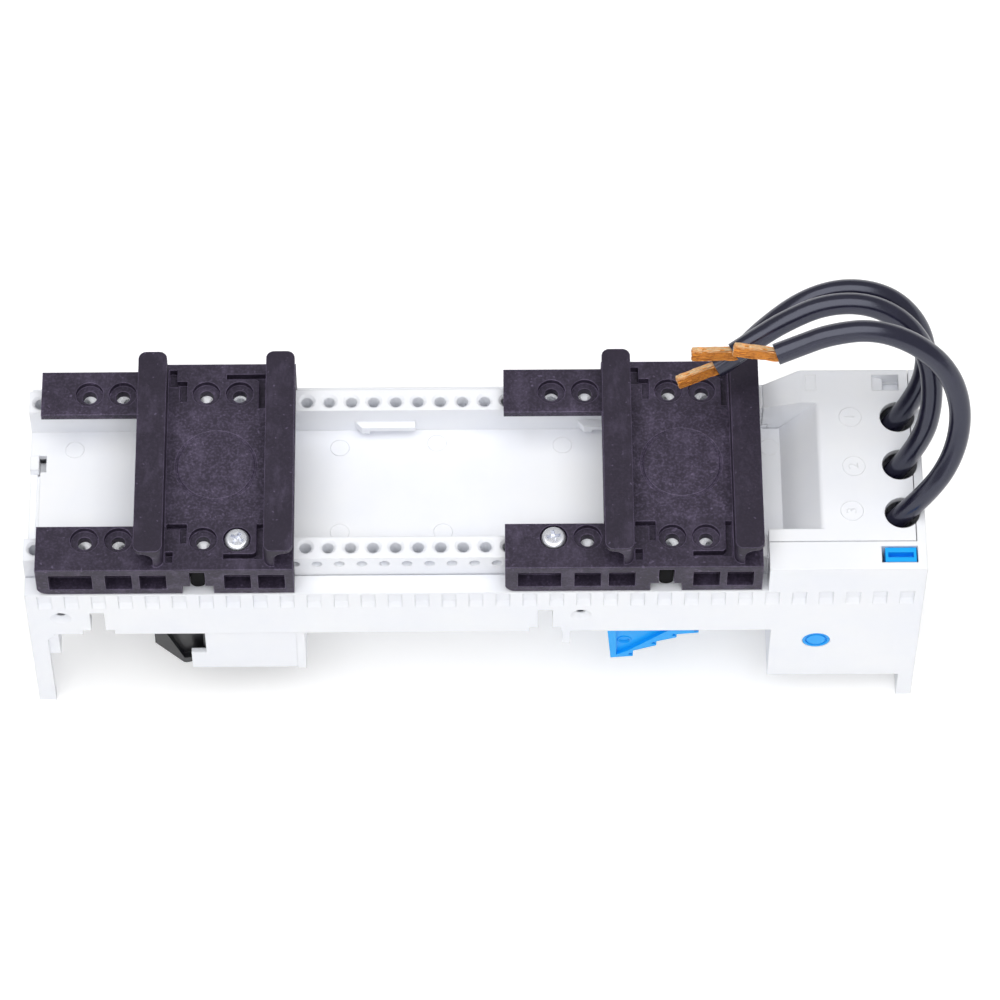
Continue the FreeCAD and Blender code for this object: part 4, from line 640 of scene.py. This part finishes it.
class ADAPTER_OT_wires(bpy.types.Operator):
    """Lay the three free wires with their compacted copper ends"""
    bl_idname = "adapter.wires"
    bl_label = "Lay wires"

    def execute(self, context):
        colours = context.scene.adapter_colours
        sizes = context.scene.adapter_sizes
        insulation = wire_insulation("wire insulation", colours.wire)
        # The second finish, a paler copy of the copper, is a painted highlight for the narrow sides.
        copper = [compacted_copper("compacted copper", colours.copper, colours.copper_dark),
                  compacted_copper("painted highlight copper", colours.copper_side_highlight, colours.copper)]
        for phase in MOUTHS:
            mouth = Vector(MOUTHS[phase])
            route = [mouth * MM] + [(mouth + Vector(step)) * MM for step in ROUTES[phase]]
            end = self.copper_end(route[-1], sizes, copper, phase)
            wire = self.wire("wire." + phase, route, sizes.wire_diameter)
            context.collection.objects.link(wire)
            wire.data.materials.append(insulation)
            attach(wire, "housing")
            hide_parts("wire_" + phase)
        return {"FINISHED"}

    def wire(self, name, route, diameter):
        """A round cord that follows the route smoothly."""
        curve = bpy.data.curves.new(name, "CURVE")
        curve.dimensions = "3D"
        curve.bevel_depth = diameter / 2
        curve.bevel_resolution = 8
        curve.resolution_u = 24
        curve.use_fill_caps = True
        spline = curve.splines.new("NURBS")
        spline.points.add(len(route) - 1)
        for point, spot in zip(spline.points, route):
            point.co = (spot.x, spot.y, spot.z, 1.0)
        spline.order_u = 3
        spline.use_endpoint_u = True
        spline.use_smooth = True
        return bpy.data.objects.new(name, curve)

    def copper_end(self, tip, sizes, copper, phase):
        """A flat block of welded strands on the end of a wire, its root inside the insulation."""
        heading = Vector(STRAND_HEADINGS[phase]).normalized()
        side = STRAND_FACE.cross(heading).normalized()
        turn = Matrix((heading, side, heading.cross(side))).transposed()
        whole = sizes.end_length + sizes.end_root
        end = cuboid((0.0, 0.0, 0.0), (whole, sizes.end_width, sizes.end_thickness))
        end.name = "copper_end." + phase
        bpy.ops.object.mode_set(mode="EDIT")
        bpy.ops.mesh.select_all(action="SELECT")
        bpy.ops.mesh.bevel(offset=END_ROUNDING * MM, segments=2, affect="EDGES")
        bpy.ops.mesh.subdivide(number_cuts=END_CUTS)
        bpy.ops.object.mode_set(mode="OBJECT")
        self.strand_map(end, sizes)
        self.roughen(end)
        for material in copper:
            end.data.materials.append(material)
        # The narrow sides take the paler copy of the copper, a painted highlight.
        for face in end.data.polygons:
            highlit_side = abs(face.normal.z) < HIGHLIT_SIDE_TILT
            face.material_index = int(highlit_side)
        middle = tip + heading * (sizes.end_length - sizes.end_root) / 2
        end.matrix_world = Matrix.Translation(middle) @ turn.to_4x4()
        settle(end)
        smooth(end, degrees=35)
        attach(end, "housing")
        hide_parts("wire_end_" + phase)
        return end

    def roughen(self, end):
        """Uneven strands: small swells over the block."""
        swells = bpy.data.textures.new("strand swells", "CLOUDS")
        swells.noise_scale = SWELL_SIZE
        swells.noise_depth = 1
        only(end)
        bpy.ops.object.modifier_add(type="DISPLACE")
        modifier = end.modifiers[-1]
        modifier.texture = swells
        modifier.texture_coords = "UV"
        modifier.strength = SWELL_HEIGHT * MM
        bpy.ops.object.modifier_apply(modifier=modifier.name)

    def strand_map(self, end, sizes):
        """UV map with U across the strands and V along them."""
        layer = end.data.uv_layers.active
        for loop in end.data.loops:
            spot = end.data.vertices[loop.vertex_index].co
            layer.data[loop.index].uv = ((spot.y + spot.z) / sizes.end_width, spot.x / sizes.end_length)


class ADAPTER_OT_housing(bpy.types.Operator):
    """Give the grey housing mouldings their finish"""
    bl_idname = "adapter.housing"
    bl_label = "Finish housing"

    def execute(self, context):
        colour = context.scene.adapter_colours.housing
        pale = [min(1.0, c) for c in shade(colour, factor=1.10)]
        grey = moulded_plastic("housing grey", colour, pale, roughness=0.42, edge_radius=0.4, cloud=0.6)
        paint_nodes(grey, "base_frame", "deck_plate", "terminal_cover", "bottom_cover", "latch_guide")
        return {"FINISHED"}


class ADAPTER_OT_marks(bpy.types.Operator):
    """Raise the fine moulding marks of the deck and the cover"""
    bl_idname = "adapter.marks"
    bl_label = "Raise marks"

    def execute(self, context):
        sizes = context.scene.adapter_sizes
        pieces = [self.circle((x, y, DECK_FLOOR), sizes.ejector_mark, sizes) for x, y in EJECTOR_PLACES]
        for digit, (x, y) in NUMBER_PLACES.items():
            pieces.append(self.circle((x, y, COVER_TOP), sizes.number_ring, sizes))
            pieces.append(self.number(digit, (x, y, COVER_TOP), sizes))
        pieces.append(self.small_frame((*FRAME_PLACE, COVER_TOP), sizes))
        marks = joined(pieces, "moulding_marks")
        paint(marks, bpy.data.materials["housing grey"])
        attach(marks, "housing")
        return {"FINISHED"}

    def circle(self, place, diameter, sizes):
        """A fine raised circle, half sunk in the surface."""
        return torus(Vector(place) * MM, diameter / 2, sizes.mark_height, segments=(64, 8))

    def number(self, digit, place, sizes):
        """A plain raised digit that reads from the cable end."""
        deselect_all()
        bpy.ops.object.text_add(location=Vector(place) * MM, rotation=(0.0, 0.0, QUARTER_TURN))
        text = bpy.context.object.data
        text.body = digit
        text.size = sizes.number_height
        text.extrude = sizes.mark_height
        text.align_x = "CENTER"
        text.align_y = "CENTER"
        bpy.ops.object.convert(target="MESH")
        piece = bpy.context.object
        settle(piece)
        return piece

    def small_frame(self, place, sizes):
        """A small raised frame with a sunk middle."""
        height = sizes.mark_height
        piece = cuboid(Vector(place) * MM, (sizes.frame_length, sizes.frame_width, 2 * height))
        choose(piece, "FACE", lambda face: face.normal.z > UPRIGHT)
        bpy.ops.mesh.inset(thickness=FRAME_BORDER * height)
        bpy.ops.transform.translate(value=(0.0, 0.0, -FRAME_SINK * height))
        bpy.ops.object.mode_set(mode="OBJECT")
        return piece


class ADAPTER_OT_lips(bpy.types.Operator):
    """Close the open joints of the deck and the cover with the lips behind them"""
    bl_idname = "adapter.lips"
    bl_label = "Close joints"

    def execute(self, context):
        pieces = [self.lip(low, high) for low, high in (*LIPS, WINDOW_FLOOR)]
        pieces.append(self.window_block())
        lips = joined(pieces, "joint_lips")
        paint(lips, bpy.data.materials["housing grey"])
        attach(lips, "housing")
        return {"FINISHED"}

    def lip(self, low, high):
        """A bar between two corners, with softened edges."""
        piece = block(low, high)
        bpy.ops.object.mode_set(mode="EDIT")
        bpy.ops.mesh.select_all(action="SELECT")
        bpy.ops.mesh.bevel(offset=LIP_ROUNDING * MM, segments=1, affect="EDGES")
        bpy.ops.object.mode_set(mode="OBJECT")
        return piece

    def window_block(self):
        """Block in the cover's window, which falls away from its left edge."""
        piece = self.lip(*WINDOW_BLOCK)
        middle = (Vector(WINDOW_BLOCK[0]) + Vector(WINDOW_BLOCK[1])) / 2 * MM
        for vertex in piece.data.vertices:
            if vertex.co.x < middle.x and vertex.co.z > middle.z:
                vertex.co.z += WINDOW_RISE * MM
        return piece


class ADAPTER_OT_carriers(bpy.types.Operator):
    """Slot the rail carriers' plates and give them their finish"""
    bl_idname = "adapter.carriers"
    bl_label = "Finish carriers"

    def execute(self, context):
        colours = context.scene.adapter_colours
        black = filled_nylon("carrier black", colours.carrier, colours.carrier_dust_and_highlight)
        for index, node in enumerate(CARRIERS):
            carrier = self.slotted("slotted_carrier.%d" % (index + 1), node)
            paint(carrier, black)
            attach(carrier, "housing")
            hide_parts(node)
        return {"FINISHED"}

    def slotted(self, name, node):
        """A carrier with slots round its screw pads and a scored circle between them."""
        carrier = merged_copy(name, node)
        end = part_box(node)[1][0] / MM
        left = end - RAIL_WIDTH + FLANGE_WIDTH
        right = end - FLANGE_WIDTH
        bottom, top = PLATE_TOP - SLOT_DEPTH, PLATE_TOP + SLOT_CLEARANCE
        for web, side, slots in ((left, 1, LEFT_SLOTS_REAR), (left, -1, LEFT_SLOTS_FRONT),
                                 (right, 1, RIGHT_SLOTS), (right, -1, RIGHT_SLOTS)):
            for start, stop, inner, outer in slots:
                near, far = sorted((side * (HOLE_ROW + inner), side * (HOLE_ROW + outer)))
                cut(carrier, block((web + start, near, bottom), (web + stop, far, top)))
        middle = ((end - RAIL_WIDTH / 2) * MM, 0.0, PLATE_TOP * MM)
        cut(carrier, torus(middle, CIRCLE_RADIUS * MM, CIRCLE_GROOVE * MM, segments=(96, 12)))
        return carrier


class ADAPTER_OT_screws(bpy.types.Operator):
    """Model the cross-recessed carrier screws"""
    bl_idname = "adapter.screws"
    bl_label = "Fit screws"

    def execute(self, context):
        colours = context.scene.adapter_colours
        zinc = plated_metal("zinc plating", colours.zinc, roughness=0.28, metallic=0.8, stain=0.15)
        low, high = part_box("carrier_screws")
        first = self.screw(low[2], high[2], context.scene.adapter_sizes)
        screws = [first]
        for _ in SCREW_PLACES[1:]:
            only(first)
            bpy.ops.object.duplicate(linked=False)
            screws.append(context.object)
        for index, (screw, (x, y)) in enumerate(zip(screws, SCREW_PLACES)):
            screw.name = "carrier_screw.%d" % (index + 1)
            only(screw)
            bpy.ops.transform.rotate(value=FIRST_TURN + NEXT_TURN * index, orient_axis="Z",
                                     center_override=(0.0, 0.0, 0.0))
            screw.location = (x * MM, y * MM, 0.0)
            settle(screw)
            smooth(screw, degrees=40)
            paint(screw, zinc)
            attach(screw, "housing")
            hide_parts("carrier_screws")
        paint_nodes(zinc, "lock_pin")
        return {"FINISHED"}

    def screw(self, bottom, top, sizes):
        """A pan-head screw on the origin's axis, with a cross recess in its head."""
        under = top - sizes.screw_head_height
        middle = (under + top) / 2
        deselect_all()
        bpy.ops.mesh.primitive_cylinder_add(
            vertices=56, radius=sizes.screw_head / 2, depth=sizes.screw_head_height,
            location=(0.0, 0.0, middle))
        head = bpy.context.object
        settle(head)
        places = [vertex.co.copy() for vertex in head.data.vertices]
        choose(head, "EDGE", lambda edge: all(places[v].z > middle for v in edge.vertices))
        bpy.ops.mesh.bevel(offset=HEAD_ROUNDING * MM, segments=5, affect="EDGES")
        choose(head, "FACE", lambda face: face.normal.z < -UPRIGHT)
        bpy.ops.mesh.inset(thickness=(sizes.screw_head - sizes.screw_shank) / 2)
        bpy.ops.mesh.extrude_region_move(TRANSFORM_OT_translate={"value": (0.0, 0.0, bottom - under)})
        bpy.ops.object.mode_set(mode="OBJECT")
        for turn in (0.0, QUARTER_TURN):
            cut(head, self.blade(top, turn))
        return head

    def blade(self, top, turn):
        """One wing of the cross recess, which narrows below the top of the head."""
        piece = cuboid((0.0, 0.0, top), Vector(BLADE_SIZE) * MM)
        piece.rotation_euler = (0.0, 0.0, turn)
        settle(piece)
        for vertex in piece.data.vertices:
            if vertex.co.z < top:
                vertex.co.x *= BLADE_TAPER
                vertex.co.y *= BLADE_TAPER
        return piece


class ADAPTER_OT_latches(bpy.types.Operator):
    """Give the latch, lever, rocker and release their finishes"""
    bl_idname = "adapter.latches"
    bl_label = "Finish latches"

    def execute(self, context):
        colours = context.scene.adapter_colours
        black = moulded_plastic("latch black", colours.latch, shade(colours.latch, factor=2.2),
                                roughness=0.4, edge_radius=0.3)
        blue = moulded_plastic("release blue", colours.release, colours.release_pale, roughness=0.36,
                               edge_radius=0.3, cloud=0.4, specular=0.3)
        paint_nodes(black, "latch_slide")
        paint_nodes(blue, "release_rocker", "release_slide")
        for piece in (self.lever(), self.lever_ring()):
            paint(piece, blue)
            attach(piece, "lever")
        return {"FINISHED"}

    def lever(self):
        """The lever with a small pit beside each tooth."""
        piece = merged_copy("stepped_lever", "lock_lever")
        for along, up in PIT_PLACES:
            place = (LEVER_LOW + Vector((along, 0.0, up))) * MM
            deselect_all()
            bpy.ops.mesh.primitive_cylinder_add(
                vertices=20, radius=PIT_RADIUS * MM, depth=PIT_LENGTH * MM, location=place,
                rotation=(QUARTER_TURN, 0.0, 0.0))
            pit = bpy.context.object
            settle(pit)
            cut(piece, pit)
        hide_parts("lock_lever")
        return piece

    def lever_ring(self):
        """A raised ring in the lever's sunk panel."""
        ring = torus((LEVER_LOW + Vector(RING_PLACE)) * MM, RING_RADIUS * MM, RING_SECTION * MM,
                     segments=(48, 10), turn=(QUARTER_TURN, 0.0, 0.0))
        ring.name = "lever_ring"
        smooth(ring, degrees=40)
        return ring


class ADAPTER_OT_slot_shades(bpy.types.Operator):
    """Hang dark rounded pieces in the carriers' skirt slots: painted shade of the holes behind them"""
    bl_idname = "adapter.tongues"
    bl_label = "Hang tongues"

    def execute(self, context):
        # The nearly black, matt finish is painted shade: each piece stands for the dark hole behind its
        # slot.
        dark = shade(context.scene.adapter_colours.latch, factor=0.2)
        black = moulded_plastic("painted slot shade", dark, shade(dark, factor=2.0), roughness=0.7,
                                edge_radius=0.3, specular=0.1)
        for index, carrier in enumerate(CARRIERS):
            slot_shade = self.slot_shade(corners(carrier)[0])
            slot_shade.name = "carrier_slot_shade.%d" % (index + 1)
            paint(slot_shade, black)
            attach(slot_shade, "housing")
        return {"FINISHED"}

    def slot_shade(self, corner):
        """A bar with a round lower end, set back from the skirt's face."""
        width, thickness, height = SLOT_SHADE_SIZE
        middle = Vector((corner.x + SLOT_SHADE_ALONG, corner.y + SLOT_SHADE_SETBACK + thickness / 2,
                         SLOT_SHADE_TOP - height / 2)) * MM
        piece = cuboid(middle, Vector(SLOT_SHADE_SIZE) * MM)
        places = [vertex.co - middle for vertex in piece.data.vertices]

        def low_edge(edge):
            first, second = (places[v] for v in edge.vertices)
            return max(first.z, second.z) < 0 and first.y * second.y < 0

        choose(piece, "EDGE", low_edge)
        bpy.ops.mesh.bevel(offset=width * SLOT_SHADE_ROUNDING * MM, segments=6, affect="EDGES")
        bpy.ops.object.mode_set(mode="OBJECT")
        smooth(piece, degrees=35)
        return piece


class ADAPTER_OT_contacts(bpy.types.Operator):
    """Give the contacts, springs and inner wires their finishes"""
    bl_idname = "adapter.contacts"
    bl_label = "Finish contacts"

    def execute(self, context):
        colours = context.scene.adapter_colours
        steel = plated_metal("spring steel", colours.spring, roughness=0.38)
        tin = plated_metal("contact metal", colours.contact, roughness=0.36, stretch=(1.0, 8.0, 1.0))
        inner = wire_insulation("inner wire insulation", colours.wire)
        for node, (axis, body) in SPRINGS.items():
            self.coil(node, axis, body, steel)
        paint_nodes(tin, *["contact_" + phase for phase in MOUTHS])
        paint_nodes(inner, *["inner_wire_" + phase for phase in MOUTHS])
        return {"FINISHED"}

    def coil(self, node, axis, body, steel):
        """A merged copy of the spring's node in spring steel, in the node's place."""
        piece = merged_copy("coil." + node, node)
        low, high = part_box(node)
        held = [(near + far) / 2 for near, far in zip(low, high)]
        pressed = list(held)
        held[axis] = high[axis]
        pressed[axis] = low[axis]
        paint(piece, steel)
        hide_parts(node)
        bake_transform(piece)


class ADAPTER_OT_stage(bpy.types.Operator):
    """Build the pale floor and the soft studio light"""
    bl_idname = "adapter.stage"
    bl_label = "Build stage"

    def execute(self, context):
        stage = context.scene.adapter_stage
        deselect_all()
        bpy.ops.mesh.primitive_plane_add(size=FLOOR_SIZE, location=(0.0, 0.0, CAD_BOX[0][2]))
        floor = context.object
        floor.name = "floor"
        bpy.ops.object.mode_set(mode="EDIT")
        bpy.ops.mesh.select_mode(type="EDGE")
        bpy.ops.mesh.select_all(action="SELECT")
        bpy.ops.mesh.extrude_edges_move(TRANSFORM_OT_translate={"value": (0.0, 0.0, FLOOR_RIM)})
        bpy.ops.object.mode_set(mode="OBJECT")
        paint(floor, self.floor_finish(stage))
        self.lamp("overhead_light", KEY_PLACE, KEY_SIZE, stage.key_power)
        self.lamp("front_light", FILL_PLACE, FILL_SIZE, stage.fill_power)
        world = bpy.data.worlds.new("room")
        world.use_nodes = True
        background = world.node_tree.nodes["Background"]
        background.inputs["Color"].default_value = (1.0, 1.0, 1.0, 1.0)
        background.inputs["Strength"].default_value = stage.sky
        context.scene.world = world
        context.scene.view_settings.view_transform = "Standard"
        return {"FINISHED"}

    def floor_finish(self, stage):
        """A white sweep: bright to the camera and in reflections, and still shaded under the object."""
        finish = Finish("floor white")
        matt = finish.node("BsdfDiffuse", {}, {"Color": rgba(stage.floor)})
        reach = finish.node("VectorMath", {"operation": "LENGTH"}, {"Vector": finish.place()}, "Value")
        distant = finish.ramp(reach, low=GLOW_NEAR, high=GLOW_FAR)
        glow = finish.node("Emission", {}, {
            "Color": finish.mix(distant, rgba([stage.floor_glow] * 3), rgba([FAR_GLOW] * 3))})
        lit = finish.node("AddShader", {}, {"Shader": matt, "Shader_001": glow})
        camera, glossy, through = (
            finish.node("LightPath", output="Is %s Ray" % kind)
            for kind in ("Camera", "Glossy", "Transmission"))
        finish.end(finish.node("MixShader", {}, {
            "Fac": camera + glossy + through, "Shader": matt, "Shader_001": lit}))
        return finish.material

    def lamp(self, name, place, size, power):
        """A square light that faces the part."""
        deselect_all()
        bpy.ops.object.light_add(type="AREA", location=place)
        lamp = bpy.context.object
        lamp.name = name
        lamp.data.size = size
        lamp.data.energy = power
        lamp.rotation_euler = (Vector(place) - Vector(LIGHT_AIM)).to_track_quat("Z", "Y").to_euler()


STEPS = ("camera", "wires", "housing", "marks", "lips", "carriers", "screws", "latches", "tongues",
         "contacts", "stage")


class ADAPTER_PT_panel(bpy.types.Panel):
    """Buttons and settings of the adapter's looks"""
    bl_idname = "ADAPTER_PT_panel"
    bl_label = "Busbar adapter"
    bl_space_type = "VIEW_3D"
    bl_region_type = "UI"
    bl_category = "Adapter"

    def draw(self, context):
        scene = context.scene
        for step in STEPS:
            self.layout.operator("adapter." + step)
        for group in (scene.adapter_colours, scene.adapter_sizes, scene.adapter_stage):
            box = self.layout.box()
            for name in group.bl_rna.properties.keys():
                if name not in ("rna_type", "name"):
                    box.prop(group, name)


CLASSES = (
    AdapterColours, AdapterSizes, AdapterStage, ADAPTER_OT_camera, ADAPTER_OT_wires, ADAPTER_OT_housing,
    ADAPTER_OT_marks, ADAPTER_OT_lips, ADAPTER_OT_carriers, ADAPTER_OT_screws, ADAPTER_OT_latches,
    ADAPTER_OT_slot_shades, ADAPTER_OT_contacts, ADAPTER_OT_stage, ADAPTER_PT_panel,
)


def register():
    for made in CLASSES:
        bpy.utils.register_class(made)
    bpy.types.Scene.adapter_colours = bpy.props.PointerProperty(type=AdapterColours)
    bpy.types.Scene.adapter_sizes = bpy.props.PointerProperty(type=AdapterSizes)
    bpy.types.Scene.adapter_stage = bpy.props.PointerProperty(type=AdapterStage)


def unregister():
    del bpy.types.Scene.adapter_stage
    del bpy.types.Scene.adapter_sizes
    del bpy.types.Scene.adapter_colours
    for made in reversed(CLASSES):
        bpy.utils.unregister_class(made)


def main():
    register()
    for step in STEPS:
        getattr(bpy.ops.adapter, step)()


if __name__ == "__main__":
    main()
